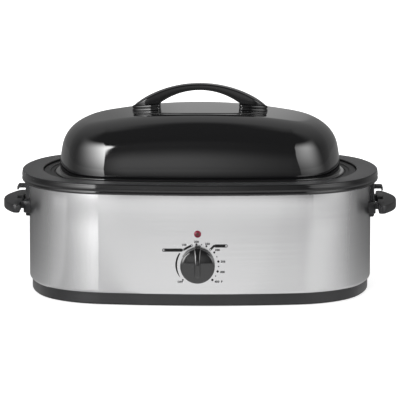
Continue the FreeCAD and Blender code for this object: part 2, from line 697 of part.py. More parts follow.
def rack_wires():
    height = PAN_FLOOR + RACK_HEIGHT + RACK_FRAME_RADIUS + RACK_WIRE_RADIUS - RACK_WELD
    outline = slab(-RACK_INSET, height - RACK_WIRE_RADIUS, height + RACK_WIRE_RADIUS)
    wires = []
    each_side = int((BODY_HALF_LENGTH - RACK_INSET - RACK_WIRE_END_GAP) // RACK_WIRE_PITCH)
    for index in range(-each_side, each_side + 1):
        x = index * RACK_WIRE_PITCH
        wire = rod(V(x, -BODY_HALF_DEPTH, height), Y_AXIS, RACK_WIRE_RADIUS, 2 * BODY_HALF_DEPTH)
        wires.append(wire.common(outline))
    return wires


def rack_runner():
    low = PAN_FLOOR + RACK_FLOOR_GAP + RACK_RUNNER_RADIUS
    high = PAN_FLOOR + RACK_HEIGHT - RACK_FRAME_RADIUS - RACK_RUNNER_RADIUS + RACK_WELD
    end = half_depth(RACK_RUNNER_X, -RACK_INSET)
    bend = high - low
    upper = end - RACK_RUNNER_SHOULDER
    lower = upper - bend
    path = [(-end, high), (-upper, high), (-lower, low), (lower, low), (upper, high), (end, high)]
    return bent_wire([V(RACK_RUNNER_X, y, z) for y, z in path], bend, RACK_RUNNER_RADIUS)


def rack_handle():
    half = RACK_HANDLE_HALF_WIDTH
    x = half_length(half, -RACK_INSET) - 2 * RACK_FRAME_RADIUS + RACK_WELD
    bottom = PAN_FLOOR + RACK_HEIGHT - RACK_FRAME_RADIUS
    top = bottom + RACK_HANDLE_HEIGHT
    points = [V(x, y, z) for y, z in ((-half, bottom), (-half, top), (half, top), (half, bottom))]
    return bent_wire(points, RACK_BEND_RADIUS, RACK_FRAME_RADIUS)


# ---- lid ----------------------------------------------------------------------------------------
def crown_block(radius_change):
    """A cylinder lying front to back, whose top is the lid's gently curved crown."""
    radius = LID_CROWN_RADIUS + radius_change
    start = V(0, -BODY_HALF_DEPTH, LID_CROWN - LID_CROWN_RADIUS)
    return rod(start, Y_AXIS, radius, 2 * BODY_HALF_DEPTH)


def lid_pad(change):
    """The low raised pad under the handle, grown by the change on its outline and its top."""
    ellipse = Part.Ellipse(V(0, 0, LID_CROWN - LID_SHOULDER_RADIUS / 2), LID_PAD_HALF_LENGTH + change,
                           LID_PAD_HALF_DEPTH + change)
    column = Part.Face(Part.Wire(ellipse.toShape())).extrude(V(0, 0, LID_SHOULDER_RADIUS))
    return column.common(crown_block(LID_PAD_HEIGHT + change))


def lid_dome(inset):
    """The solid under the dome's outer face, or under its inner face when inset by the wall."""
    bottom = LID_SEAT + LID_FOOT_HEIGHT
    low = -LID_INSET - inset
    block = tapered(low, bottom, low - LID_DRAFT * (LID_CROWN - bottom), LID_CROWN)
    block = block.common(crown_block(-inset)).removeSplitter()
    shoulder = [edge for edge in block.Edges if edge.BoundBox.ZMin > (bottom + LID_CROWN) / 2]
    return joined([block.makeFillet(LID_SHOULDER_RADIUS - inset, shoulder), lid_pad(-inset)])


def lid_shell():
    foot = LID_SEAT + LID_FOOT_HEIGHT
    lip = LID_SEAT + LID_LIP_HEIGHT
    path = [(-LID_LIP_INSET, LID_SEAT), (-LID_LIP_INSET, lip), (-LID_INSET, lip), (-LID_INSET, foot)]
    flange = ring(sheet(path, [0, LID_LIP_RADIUS, LID_FOOT_RADIUS, 0], LID_WALL))
    shell = joined([lid_dome(0).cut(lid_dome(LID_WALL)), flange])
    return shell.cut(lid_handle_screws(HANDLE_SCREW_RADIUS + FIT))


def handle_plan(change):
    """The handle's plan: narrow in the middle, flared to the feet, with rounded ends."""
    end = HANDLE_FOOT_OUTER + change
    waist = HANDLE_HALF_WIDTH + change
    radius = HANDLE_FLARE_RADIUS - change
    drop = radius - math.sqrt(radius ** 2 - end ** 2)
    back = Part.Arc(V(end, waist + drop, 0), V(0, waist, 0), V(-end, waist + drop, 0)).toShape()
    front = Part.Arc(V(-end, -waist - drop, 0), V(0, -waist, 0), V(end, -waist - drop, 0)).toShape()
    left = Part.LineSegment(V(-end, waist + drop, 0), V(-end, -waist - drop, 0)).toShape()
    right = Part.LineSegment(V(end, -waist - drop, 0), V(end, waist + drop, 0)).toShape()
    column = Part.Face(Part.Wire([back, left, front, right])).extrude(V(0, 0, HANDLE_TOP * 2))
    uprights = [edge for edge in column.Edges if edge.BoundBox.ZLength > HANDLE_TOP]
    return column.makeFillet(HANDLE_FOOT_CORNER, uprights)


def handle_arch():
    """The side view of the arch, an outer and an inner arc, down to a seat as curved as the crown."""
    seat = LID_CROWN
    outer_centre = HANDLE_TOP - HANDLE_OUTER_RADIUS
    inner_top = HANDLE_TOP - HANDLE_GRIP_THICKNESS
    inner_centre = inner_top - HANDLE_INNER_RADIUS
    outer_x = math.sqrt(HANDLE_OUTER_RADIUS ** 2 - (seat - outer_centre) ** 2)
    inner_x = math.sqrt(HANDLE_INNER_RADIUS ** 2 - (seat - inner_centre) ** 2)
    outer = Part.Arc(V(outer_x, 0, seat), V(0, 0, HANDLE_TOP), V(-outer_x, 0, seat)).toShape()
    inner = Part.Arc(V(-inner_x, 0, seat), V(0, 0, inner_top), V(inner_x, 0, seat)).toShape()
    left = Part.LineSegment(V(-outer_x, 0, seat), V(-inner_x, 0, seat)).toShape()
    right = Part.LineSegment(V(inner_x, 0, seat), V(outer_x, 0, seat)).toShape()
    face = Part.Face(Part.Wire([outer, left, inner, right]))
    arch = face.extrude(V(0, 2 * BODY_HALF_DEPTH, 0)).translated(V(0, -BODY_HALF_DEPTH, 0))
    return arch.cut(crown_block(HANDLE_SEAT))


def lid_handle():
    grip = handle_arch().common(handle_plan(0))
    long_edges = [edge for edge in grip.Edges if edge.BoundBox.XLength > HANDLE_FOOT_OUTER]
    grip = grip.makeFillet(HANDLE_EDGE_RADIUS, long_edges)
    return grip.cut(lid_handle_screws(HANDLE_SCREW_RADIUS + FIT))


def foot_tier(change, bottom, top):
    """A slice of the collar between two heights above the crown, grown by the change on its outline."""
    inner = HANDLE_FOOT_INNER - change
    outer = HANDLE_FOOT_OUTER + change
    width = 2 * HANDLE_FOOT_HALF_WIDTH
    low = LID_CROWN - LID_SHOULDER_RADIUS
    block = box((inner, -width, low), (outer, width, HANDLE_TOP)).common(handle_plan(change))
    uprights = [edge for edge in block.Edges if edge.BoundBox.XLength < TINY and edge.BoundBox.YLength < TINY]
    inner_edges = [edge for edge in uprights if edge.BoundBox.XMin < inner + 1]
    block = block.makeFillet(HANDLE_FOOT_INNER_CORNER, inner_edges)
    return block.common(crown_block(top)).cut(crown_block(bottom))


def lid_handle_feet():
    """Collars between the arch's ends and the dome: two tiers with a groove between them."""
    low = (HANDLE_SEAT - HANDLE_FOOT_GROOVE) / 2
    high = low + HANDLE_FOOT_GROOVE
    tiers = [(HANDLE_FOOT_GROOVE, 0, low), (0, low, high), (HANDLE_FOOT_GROOVE, high, HANDLE_SEAT)]
    foot = joined([foot_tier(*tier) for tier in tiers]).cut(lid_dome(0))
    return [shape.cut(lid_handle_screws(HANDLE_SCREW_RADIUS + FIT)) for shape in both_ends(foot)]


def washer_seat():
    """Underside of the dome at the washer's outer edge, where the washer first touches."""
    radius = LID_CROWN_RADIUS - LID_WALL
    edge = HANDLE_SCREW_X + HANDLE_WASHER_RADIUS
    return LID_CROWN - LID_CROWN_RADIUS + math.sqrt(radius ** 2 - edge ** 2)


def lid_handle_screws(radius=HANDLE_SCREW_RADIUS):
    seat = V(HANDLE_SCREW_X, 0, washer_seat() - HANDLE_WASHER_THICKNESS)
    edge = HANDLE_SCREW_X + HANDLE_SCREW_RADIUS
    arch_rise = math.sqrt(HANDLE_OUTER_RADIUS ** 2 - edge ** 2) - HANDLE_OUTER_RADIUS
    length = HANDLE_TOP + arch_rise - HANDLE_SCREW_COVER - seat.z
    shape = screw(seat, Z_AXIS, radius, length, HANDLE_SCREW_HEAD_RADIUS, HANDLE_SCREW_HEAD_HEIGHT)
    return both_ends(shape)


def lid_handle_washers():
    start = V(HANDLE_SCREW_X, 0, washer_seat() - HANDLE_WASHER_THICKNESS)
    disc = rod(start, Z_AXIS, HANDLE_WASHER_RADIUS, HANDLE_WASHER_THICKNESS)
    return both_ends(disc.cut(rod(start, Z_AXIS, HANDLE_SCREW_RADIUS + FIT, HANDLE_WASHER_THICKNESS)))


# ---- side handles -------------------------------------------------------------------------------
def plate_solid():
    """Back plate of a side handle, seated on the wrap: narrow under the rim, wide at the blocks."""
    top = SIDE_TOP
    corners = [(-SIDE_PLATE_TOP_HALF_WIDTH, top), (-SIDE_PLATE_HALF_WIDTH, SIDE_BLOCK_TOP),
               (-SIDE_PLATE_HALF_WIDTH + SIDE_BLOCK_LENGTH, SIDE_PLATE_BOTTOM),
               (SIDE_PLATE_HALF_WIDTH - SIDE_BLOCK_LENGTH, SIDE_PLATE_BOTTOM),
               (SIDE_PLATE_HALF_WIDTH, SIDE_BLOCK_TOP), (SIDE_PLATE_TOP_HALF_WIDTH, top)]
    inside = BODY_HALF_LENGTH - 2 * SIDE_BLOCK_LENGTH
    points = [V(inside, y, z) for y, z in corners]
    face = Part.Face(Part.Wire(rounded_edges(points, [GRIP_EDGE_RADIUS] * len(points), closed=True)))
    plate = face.extrude(V(SIDE_PLATE_OUTER_X - inside, 0, 0))
    block = box((inside, SIDE_BLOCK_HALF_WIDTH - SIDE_BLOCK_LENGTH, SIDE_BLOCK_BOTTOM),
                (SIDE_PLATE_OUTER_X, SIDE_BLOCK_HALF_WIDTH, SIDE_BLOCK_TOP))
    return joined([plate, block, block.mirror(ORIGIN, Y_AXIS)])


def grip_solid():
    """The flat D-shaped tab that the fingers go under, with a notch below the lid-rest hook."""
    bulge = GRIP_OUTER_RADIUS - math.sqrt(GRIP_OUTER_RADIUS ** 2 - GRIP_HALF_WIDTH ** 2)
    corner_x = GRIP_OUTER_X - bulge
    outer = Part.Arc(V(corner_x, -GRIP_HALF_WIDTH, GRIP_BOTTOM), V(GRIP_OUTER_X, 0, GRIP_BOTTOM),
                     V(corner_x, GRIP_HALF_WIDTH, GRIP_BOTTOM)).toShape()
    sides = [V(corner_x, GRIP_HALF_WIDTH, GRIP_BOTTOM), V(GRIP_INNER_X, GRIP_HALF_WIDTH, GRIP_BOTTOM),
             V(GRIP_INNER_X, -GRIP_HALF_WIDTH, GRIP_BOTTOM), V(corner_x, -GRIP_HALF_WIDTH, GRIP_BOTTOM)]
    lines = [Part.LineSegment(start, stop).toShape() for start, stop in zip(sides, sides[1:])]
    tab = Part.Face(Part.Wire([outer] + lines)).extrude(V(0, 0, GRIP_THICKNESS))
    corners = [edge for edge in tab.Edges
               if edge.BoundBox.ZLength > GRIP_THICKNESS / 2 and edge.BoundBox.XMin > GRIP_INNER_X + 1]
    tab = tab.makeFillet(min(GRIP_CORNER_RADIUS, (corner_x - GRIP_INNER_X) * 0.9), corners)
    flat_edges = [edge for edge in tab.Edges
                  if edge.BoundBox.ZLength < TINY and edge.BoundBox.XMax > GRIP_INNER_X + 1]
    tab = tab.makeFillet(GRIP_EDGE_RADIUS, flat_edges)
    notch = box((GRIP_INNER_X - 1, -GRIP_NOTCH_HALF_WIDTH, GRIP_BOTTOM - 1),
                (GRIP_INNER_X + GRIP_NOTCH_DEPTH, GRIP_NOTCH_HALF_WIDTH, GRIP_TOP + 1))
    return tab.cut(notch)


def grip_arms():
    arms = []
    for side in (-1, 1):
        low_y, high_y = sorted((side * GRIP_ARM_INNER_Y, side * GRIP_ARM_OUTER_Y))
        middle_x = (SIDE_PLATE_OUTER_X + GRIP_INNER_X) / 2
        arm = box((SIDE_PLATE_OUTER_X - 1, low_y, GRIP_BOTTOM), (GRIP_INNER_X + 1, high_y, GRIP_TOP - 1))
        arch = rod(V(middle_x, low_y, GRIP_BOTTOM), Y_AXIS, GRIP_ARM_ARCH_RADIUS, high_y - low_y)
        arms.append(arm.cut(arch))
    return arms


def hook_solid():
    """The L-shaped arm above the grip, on which the lid can be stood."""
    under = HOOK_TOP - HOOK_THICKNESS
    lip_x = HOOK_REACH_X - HOOK_THICKNESS * 0.7
    points = [V(SIDE_PLATE_OUTER_X - 1, -HOOK_HALF_WIDTH, z) for z in (under, HOOK_TOP)]
    points += [V(HOOK_REACH_X, -HOOK_HALF_WIDTH, z) for z in (HOOK_TOP, under - HOOK_LIP)]
    points += [V(lip_x, -HOOK_HALF_WIDTH, z) for z in (under - HOOK_LIP, under)]
    edges = rounded_edges(points, [0, 0, HOOK_THICKNESS * 0.6, 0, 0, 0], closed=True)
    return Part.Face(Part.Wire(edges)).extrude(V(0, 2 * HOOK_HALF_WIDTH, 0))


def right_side_handle():
    moulding = joined([plate_solid(), grip_solid(), hook_solid()] + grip_arms())
    moulding = moulding.cut(slab(0, 0, RIM_TOP))
    return moulding.cut(side_handle_screws(SIDE_SCREW_RADIUS + FIT))


def side_handle_screws(radius=SIDE_SCREW_RADIUS):
    """Screws from inside the wrap into the back plates, with their heads seated on the curved steel."""
    seat_x = half_length(SIDE_SCREW_Y + SIDE_SCREW_HEAD_RADIUS, SHELL_INNER)
    length = SIDE_PLATE_OUTER_X - SIDE_SCREW_TIP_COVER - seat_x
    shapes = [screw(V(seat_x, y, SIDE_SCREW_Z), X_AXIS, radius, length, SIDE_SCREW_HEAD_RADIUS,
                    SIDE_SCREW_HEAD_HEIGHT) for y in (-SIDE_SCREW_Y, SIDE_SCREW_Y)]
    return [copy for shape in shapes for copy in both_ends(shape)]


# ---- controls -----------------------------------------------------------------------------------
def ridge_solid():
    """The raised pointer across the knob's face, wider at its upper, pointing end."""
    back = KNOB_FACE - KNOB_SKIRT / 2
    wide, narrow = KNOB_RIDGE_TOP_HALF_WIDTH, KNOB_RIDGE_BOTTOM_HALF_WIDTH
    corners = [(-wide, KNOB_RIDGE_TOP), (-narrow, -KNOB_RIDGE_BOTTOM), (narrow, -KNOB_RIDGE_BOTTOM),
               (wide, KNOB_RIDGE_TOP)]
    points = [V(x, -back, CONTROL_Z + z) for x, z in corners]
    radii = [KNOB_RIDGE_EDGE_RADIUS, narrow * 0.9, narrow * 0.9, KNOB_RIDGE_EDGE_RADIUS]
    face = Part.Face(Part.Wire(rounded_edges(points, radii, closed=True)))
    ridge = face.extrude(V(0, back - KNOB_FRONT, 0))
    front = [edge for edge in ridge.Edges if edge.BoundBox.YMax < 2 * TINY - KNOB_FRONT]
    return ridge.makeFillet(KNOB_RIDGE_EDGE_RADIUS * 0.9, front)


def knob_body(change):
    """Skirt and domed face of the knob, shrunk by the change, from its back plane."""
    back = BODY_HALF_DEPTH + KNOB_GAP
    return domed_disc(V(0, -back, CONTROL_Z), KNOB_RADIUS - change, KNOB_SKIRT - change, KNOB_DOME)


def knob():
    back = BODY_HALF_DEPTH + KNOB_GAP
    solid = knob_body(0)
    circles = [edge for edge in solid.Edges if edge.BoundBox.YLength < TINY < edge.BoundBox.XLength]
    solid = solid.makeFillet(KNOB_EDGE_RADIUS, [edge for edge in circles if edge.BoundBox.YMax < -back - 1])
    boss = rod(V(0, -back, CONTROL_Z), -Y_AXIS, KNOB_BOSS_RADIUS, KNOB_SKIRT)
    shell = joined([solid.cut(knob_body(KNOB_WALL)), boss, ridge_solid()])
    return shell.cut(shaft_solid(SHAFT_RADIUS + FIT, SHAFT_FLAT - FIT, FIT))


def shaft_solid(radius, flat, extra):
    """A round shaft with a flat along its upper side inside the knob."""
    tip = KNOB_FRONT - SHAFT_TIP_COVER + extra
    tail = BODY_HALF_DEPTH - SHELL_WALL - BRACKET_THICKNESS - SHAFT_DEPTH
    shaft = rod(V(0, -tail, CONTROL_Z), -Y_AXIS, radius, tip - tail)
    flat_start = BODY_HALF_DEPTH + KNOB_GAP + CLIP_THICKNESS
    cut_low = (-radius - 1, -tip - 1, CONTROL_Z + radius - flat)
    cut_high = (radius + 1, -flat_start, CONTROL_Z + radius + 1)
    return shaft.cut(box(cut_low, cut_high))


def thermostat_shaft():
    return shaft_solid(SHAFT_RADIUS, SHAFT_FLAT, 0)


def knob_spring_clip():
    """A split ring round the shaft, pressed against the back of the knob's boss."""
    start = V(0, -(BODY_HALF_DEPTH + KNOB_GAP - CLIP_THICKNESS), CONTROL_Z)
    disc = rod(start, -Y_AXIS, KNOB_BOSS_RADIUS, CLIP_THICKNESS)
    hole = rod(start, -Y_AXIS, SHAFT_RADIUS, CLIP_THICKNESS)
    gap = box((-SHAFT_FLAT, start.y - CLIP_THICKNESS, CONTROL_Z - 2 * KNOB_BOSS_RADIUS),
              (SHAFT_FLAT, start.y, CONTROL_Z))
    return disc.cut([hole, gap])


def bracket_back():
    return BODY_HALF_DEPTH - SHELL_WALL - BRACKET_THICKNESS


def thermostat_bracket():
    low = (-BRACKET_HALF_WIDTH, -BODY_HALF_DEPTH, CONTROL_Z - BRACKET_HALF_HEIGHT)
    high = (BRACKET_HALF_WIDTH, -bracket_back(), CONTROL_Z + BRACKET_HALF_HEIGHT)
    plate = box(low, high).common(slab(SHELL_INNER, 0, RIM_TOP))
    hole = rod(V(0, -BODY_HALF_DEPTH, CONTROL_Z), Y_AXIS, SHAFT_HOLE_RADIUS, THERMOSTAT_LENGTH)
    return plate.cut([hole] + bracket_screws(SCREW_RADIUS + FIT))


def bracket_screws(radius=SCREW_RADIUS):
    """Two screws under the knob's skirt that hold the bracket and the thermostat."""
    seat_y = -half_depth(BRACKET_SCREW_X - SCREW_HEAD_RADIUS, 0)
    length = SHELL_WALL + BRACKET_THICKNESS + SCREW_BITE
    return [screw(V(x, seat_y, CONTROL_Z), Y_AXIS, radius, length, SCREW_HEAD_RADIUS, SCREW_HEAD_HEIGHT)
            for x in (-BRACKET_SCREW_X, BRACKET_SCREW_X)]


def thermostat_body():
    front = -bracket_back()
    low = (-THERMOSTAT_HALF_WIDTH, front, CONTROL_Z - THERMOSTAT_HALF_HEIGHT)
    high = (THERMOSTAT_HALF_WIDTH, front + THERMOSTAT_LENGTH, CONTROL_Z + THERMOSTAT_HALF_HEIGHT)
    case = box(low, high)
    uprights = [edge for edge in case.Edges if edge.BoundBox.YLength > THERMOSTAT_LENGTH / 2]
    case = case.makeFillet(2 * BRACKET_THICKNESS, uprights)
    bore = rod(V(0, front, CONTROL_Z), Y_AXIS, SHAFT_RADIUS + FIT, SHAFT_DEPTH + FIT)
    return case.cut([bore] + bracket_screws(SCREW_RADIUS + FIT))


def pilot_lamp_lens():
    """Coloured lens: a low dome outside, a hollow neck through the steel."""
    start = V(0, -BODY_HALF_DEPTH, LAMP_Z)
    cap = domed_disc(start, LAMP_LENS_RADIUS, LAMP_LENS_EDGE, LAMP_LENS_RISE)
    neck = rod(start, Y_AXIS, LAMP_NECK_RADIUS, LAMP_NECK_LENGTH)
    bore = rod(start + V(0, SHELL_WALL, 0), Y_AXIS, LAMP_BORE_RADIUS, LAMP_NECK_LENGTH)
    return joined([cap, neck]).cut(bore)


def pilot_lamp_bulb():
    base = V(0, 2 * SHELL_WALL + LAMP_BULB_RADIUS + LAMP_BULB_LENGTH - BODY_HALF_DEPTH, LAMP_Z)
    return domed_disc(base, LAMP_BULB_RADIUS, LAMP_BULB_LENGTH, LAMP_BULB_RADIUS)


def pilot_lamp_clip():
    start = V(0, SHELL_WALL - BODY_HALF_DEPTH, LAMP_Z)
    disc = rod(start, Y_AXIS, LAMP_CLIP_RADIUS, LAMP_CLIP_THICKNESS).common(slab(SHELL_INNER, 0, RIM_TOP))
    return disc.cut(rod(start, Y_AXIS, LAMP_NECK_RADIUS, LAMP_CLIP_THICKNESS))


# ---- heating ------------------------------------------------------------------------------------
def element_offset(z):
    return liner_outer(z) + ELEMENT_WALL_GAP + ELEMENT_RADIUS


def heating_element(z):
    """A sheathed rod round the liner, open at the front, with a bare pin at each end."""
    offset = element_offset(z)
    disc = Part.Face(Part.Wire(Part.makeCircle(ELEMENT_RADIUS, V(offset, 0, z), Y_AXIS)))
    right = front_angle(ELEMENT_END_X, offset)
    left = front_angle(-ELEMENT_END_X, offset)
    whole = [sector(disc, arc) for index, arc in enumerate(ARCS) if index != FRONT]
    front = [sector(disc, ARCS[FRONT], last=left), sector(disc, ARCS[FRONT], first=right)]
    pins = []
    for angle, way in ((left, 1), (right, -1)):
        start = arc_point(ARCS[FRONT], angle, offset, z)
        along = V(-math.sin(angle), math.cos(angle), 0) * way
        pins.append(rod(start, along, ELEMENT_PIN_RADIUS, ELEMENT_PIN_LENGTH))
    return joined(whole + front + pins)


def heating_elements():
    return [heating_element(z) for z in ELEMENT_HEIGHTS]


def element_clip(arc, angle, liner_space):
    """A hat-shaped strap over both rods, spot-welded to the liner above and below them."""
    low = ELEMENT_HEIGHTS[0] - ELEMENT_RADIUS - ELEMENT_CLIP_MARGIN
    high = ELEMENT_HEIGHTS[-1] + ELEMENT_RADIUS + ELEMENT_CLIP_MARGIN
    outer = element_offset(high) + ELEMENT_RADIUS + ELEMENT_CLIP_THICKNESS
    inner = outer - ELEMENT_CLIP_THICKNESS
    back = liner_offset(low)
    points = [(back, low), (outer, low), (outer, high), (back, high), (back, high - ELEMENT_CLIP_THICKNESS),
              (inner, high - ELEMENT_CLIP_THICKNESS), (inner, low + ELEMENT_CLIP_THICKNESS),
              (back, low + ELEMENT_CLIP_THICKNESS)]
    half = ELEMENT_CLIP_WIDTH / 2 / arc[1]
    strap = sector(section(points, [0] * len(points)), arc, angle - half, angle + half)
    return strap.cut(liner_space)


def element_clips():
    liner_space = liner_body()
    spots = [(arc, arc_middle(arc)) for index, arc in enumerate(ARCS) if index != FRONT]
    spots += [(ARCS[FRONT], front_angle(x, 0)) for x in (-3 * ELEMENT_END_X, 3 * ELEMENT_END_X)]
    return [element_clip(arc, angle, liner_space) for arc, angle in spots]


def element_jumper():
    """A bare strip that joins the left-hand pins of the two rods."""
    low = ELEMENT_HEIGHTS[0] - JUMPER_HALF_WIDTH
    high = ELEMENT_HEIGHTS[-1] + JUMPER_HALF_WIDTH
    face = ELEMENT_PIN_RADIUS + FIT
    back = face + ELEMENT_CLIP_THICKNESS
    points = [(element_offset(low) + face, low), (element_offset(low) + back, low),
              (element_offset(high) + back, high), (element_offset(high) + face, high)]
    middle = front_angle(-PIN_MIDDLE_X, element_offset(low))
    half = JUMPER_HALF_WIDTH / SIDE_RADIUS
    return sector(section(points, [0] * 4), ARCS[FRONT], middle - half, middle + half)


def insulation_wrap():
    """Mineral wool round the element clips, open behind the controls and the mains entry."""
    inner = element_offset(ELEMENT_HEIGHTS[-1]) + ELEMENT_RADIUS + 2 * ELEMENT_CLIP_THICKNESS + INSULATION_GAP
    outer = inner + INSULATION_THICKNESS
    bottom = LINER_FLOOR + INSULATION_RISE
    top = LINER_SEAT - INSULATION_TOP_GAP
    points = [(inner, bottom), (outer, bottom), (outer, top), (inner, top)]
    front = box((-WINDOW_HALF_WIDTH, -BODY_HALF_DEPTH, 0), (WINDOW_HALF_WIDTH, 0, LAMP_Z + WINDOW_MARGIN))
    back = box((-WINDOW_HALF_WIDTH, 0, 0),
               (WINDOW_HALF_WIDTH, BODY_HALF_DEPTH, ENTRY_Z + GLAND_SLEEVE_RADIUS + WINDOW_MARGIN))
    return ring(section(points, [0] * 4)).cut([front, back])


def heat_shield():
    """A tray standing upside down on the bottom plate, clamped by the studs."""
    top = BOTTOM_PLATE_TOP + SHIELD_HEIGHT
    path = [(-CORE_INSET, top), (-SHIELD_INSET, top), (-SHIELD_INSET, BOTTOM_PLATE_TOP)]
    edge = ring(sheet(path, [0, SHIELD_EDGE_RADIUS, 0], -SHIELD_WALL))
    tray = joined([edge, slab(-CORE_INSET, top - SHIELD_WALL, top)])
    return tray.cut([rod(place, Z_AXIS, STUD_RADIUS + FIT, LINER_FLOOR) for place in stud_places()])


def tie_studs():
    """Studs welded under the liner, which pull it down onto the bottom plate."""
    bottom = FOOT_HEIGHT - STUD_NUT_HEIGHT
    top = LINER_FLOOR - LINER_WALL
    return [rod(place + V(0, 0, bottom), Z_AXIS, STUD_RADIUS, top - bottom) for place in stud_places()]


def stud_nuts():
    nut = hexagon(V(0, 0, FOOT_HEIGHT - STUD_NUT_HEIGHT), Z_AXIS, STUD_NUT_RADIUS, STUD_NUT_HEIGHT)
    nut = nut.cut(rod(ORIGIN, Z_AXIS, STUD_RADIUS, FOOT_HEIGHT))
    return [nut.translated(place) for place in stud_places()]


def fuse_depth():
    """Distance of the fuse's centre line from the middle of the body: its lower end touches the liner."""
    return half_depth(PIN_MIDDLE_X, liner_outer(FUSE_BOTTOM)) + FUSE_RADIUS


def thermal_fuse():
    start = V(PIN_MIDDLE_X, -fuse_depth(), FUSE_BOTTOM)
    return rod(start, Z_AXIS, FUSE_RADIUS, FUSE_LENGTH).cut(liner_body())


def thermal_fuse_strap():
    """A bent strap over the fuse with a foot on the liner at either side."""
    depth = fuse_depth()
    bottom = FUSE_BOTTOM + (FUSE_LENGTH - FUSE_STRAP_WIDTH) / 2
    start = V(PIN_MIDDLE_X, -depth, bottom)
    reach = FUSE_RADIUS + FUSE_STRAP_FOOT
    arch = rod(start, Z_AXIS, FUSE_RADIUS + FUSE_STRAP_THICKNESS, FUSE_STRAP_WIDTH)
    feet = box((start.x - reach, -depth + FUSE_RADIUS - 2 * FUSE_STRAP_THICKNESS, bottom),
               (start.x + reach, -depth + 2 * FUSE_RADIUS, bottom + FUSE_STRAP_WIDTH))
    return joined([arch, feet]).cut([rod(start, Z_AXIS, FUSE_RADIUS, FUSE_STRAP_WIDTH), liner_body()])


def fuse_leads():
    """From the thermostat up and over to the fuse, and from the fuse down to the upper rod's pin."""
    depth = fuse_depth()
    fuse_top = FUSE_BOTTOM + FUSE_LENGTH
    loop_top = fuse_top + LEAD_BEND_RADIUS * 4 / 3
    x = THERMOSTAT_HALF_WIDTH / 2
    start_z = CONTROL_Z + THERMOSTAT_HALF_HEIGHT / 2
    upper = [V(x, THERMOSTAT_LENGTH - bracket_back(), start_z), V(x, -depth, start_z), V(x, -depth, loop_top),
             V(PIN_MIDDLE_X, -depth, loop_top), V(PIN_MIDDLE_X, -depth, fuse_top)]
    pin_z = ELEMENT_HEIGHTS[-1]
    lower = rod(V(PIN_MIDDLE_X, -depth, pin_z), Z_AXIS, LEAD_RADIUS, FUSE_BOTTOM - pin_z)
    return [bent_wire(upper, LEAD_BEND_RADIUS, LEAD_RADIUS), lower.cut(heating_element(pin_z))]


# ---- mains entry --------------------------------------------------------------------------------
def cord_gland():
    """Flange, tapered bend-relief sleeve and threaded neck, with one bore for the cord."""
    face = V(0, BODY_HALF_DEPTH, ENTRY_Z)
    flange = rod(face, Y_AXIS, GLAND_FLANGE_RADIUS, GLAND_FLANGE_THICKNESS)
    sleeve_start = face + V(0, GLAND_FLANGE_THICKNESS, 0)
    reach = KNOB_FRONT - sleeve_start.y
    sleeve = Part.makeCone(GLAND_SLEEVE_RADIUS, GLAND_TIP_RADIUS, reach, sleeve_start, Y_AXIS)
    neck = rod(face, -Y_AXIS, GLAND_NECK_RADIUS, GLAND_NECK_LENGTH)
    bore = rod(face - V(0, GLAND_NECK_LENGTH, 0), Y_AXIS, GLAND_BORE_RADIUS, GLAND_NECK_LENGTH + KNOB_FRONT)
    return joined([flange, sleeve, neck]).cut(bore)


def gland_nut():
    start = V(0, BODY_HALF_DEPTH - SHELL_WALL - GLAND_NUT_THICKNESS, ENTRY_Z)
    nut = hexagon(start, Y_AXIS, GLAND_NUT_RADIUS, GLAND_NUT_THICKNESS)
    nut = nut.cut(rod(start, Y_AXIS, GLAND_NECK_RADIUS, GLAND_NUT_THICKNESS))
    return nut.common(slab(SHELL_INNER, 0, RIM_TOP))


def back_screw(x, radius, length):
    """A screw through the back of the wrap, driven from outside and seated on the curved steel."""
    seat = V(x, half_depth(abs(x) - SCREW_HEAD_RADIUS, 0), ENTRY_Z)
    return screw(seat, -Y_AXIS, radius, length, SCREW_HEAD_RADIUS, SCREW_HEAD_HEIGHT)


def block_screws(radius=SCREW_RADIUS):
    length = SHELL_WALL + BLOCK_DEPTH * 0.6
    return [back_screw(BLOCK_X + side * BLOCK_SCREW_X, radius, length) for side in (-1, 1)]


def terminal_block():
    front = BODY_HALF_DEPTH - SHELL_WALL - BLOCK_DEPTH
    bottom = ENTRY_Z - BLOCK_HALF_HEIGHT
    block = box((BLOCK_X - BLOCK_HALF_WIDTH, front, bottom),
                (BLOCK_X + BLOCK_HALF_WIDTH, BODY_HALF_DEPTH, ENTRY_Z + BLOCK_HALF_HEIGHT))
    block = block.common(slab(SHELL_INNER, 0, RIM_TOP))
    ways = [rod(V(x, front + BLOCK_DEPTH / 2, bottom), Z_AXIS, BLOCK_WIRE_RADIUS, 2 * BLOCK_HALF_HEIGHT)
            for x in (BLOCK_X - BLOCK_WIRE_X, BLOCK_X + BLOCK_WIRE_X)]
    return block.cut(ways + block_screws(SCREW_RADIUS + FIT))


def earth_screw(radius=SCREW_RADIUS):
    return back_screw(EARTH_X, radius, EARTH_SCREW_LENGTH)


def earth_nut():
    start = V(EARTH_X, half_depth(EARTH_X, SHELL_INNER) - EARTH_NUT_THICKNESS, ENTRY_Z)
    nut = hexagon(start, Y_AXIS, EARTH_NUT_RADIUS, EARTH_NUT_THICKNESS).common(slab(SHELL_INNER, 0, RIM_TOP))
    return nut.cut(rod(start, Y_AXIS, SCREW_RADIUS, 2 * EARTH_NUT_THICKNESS))


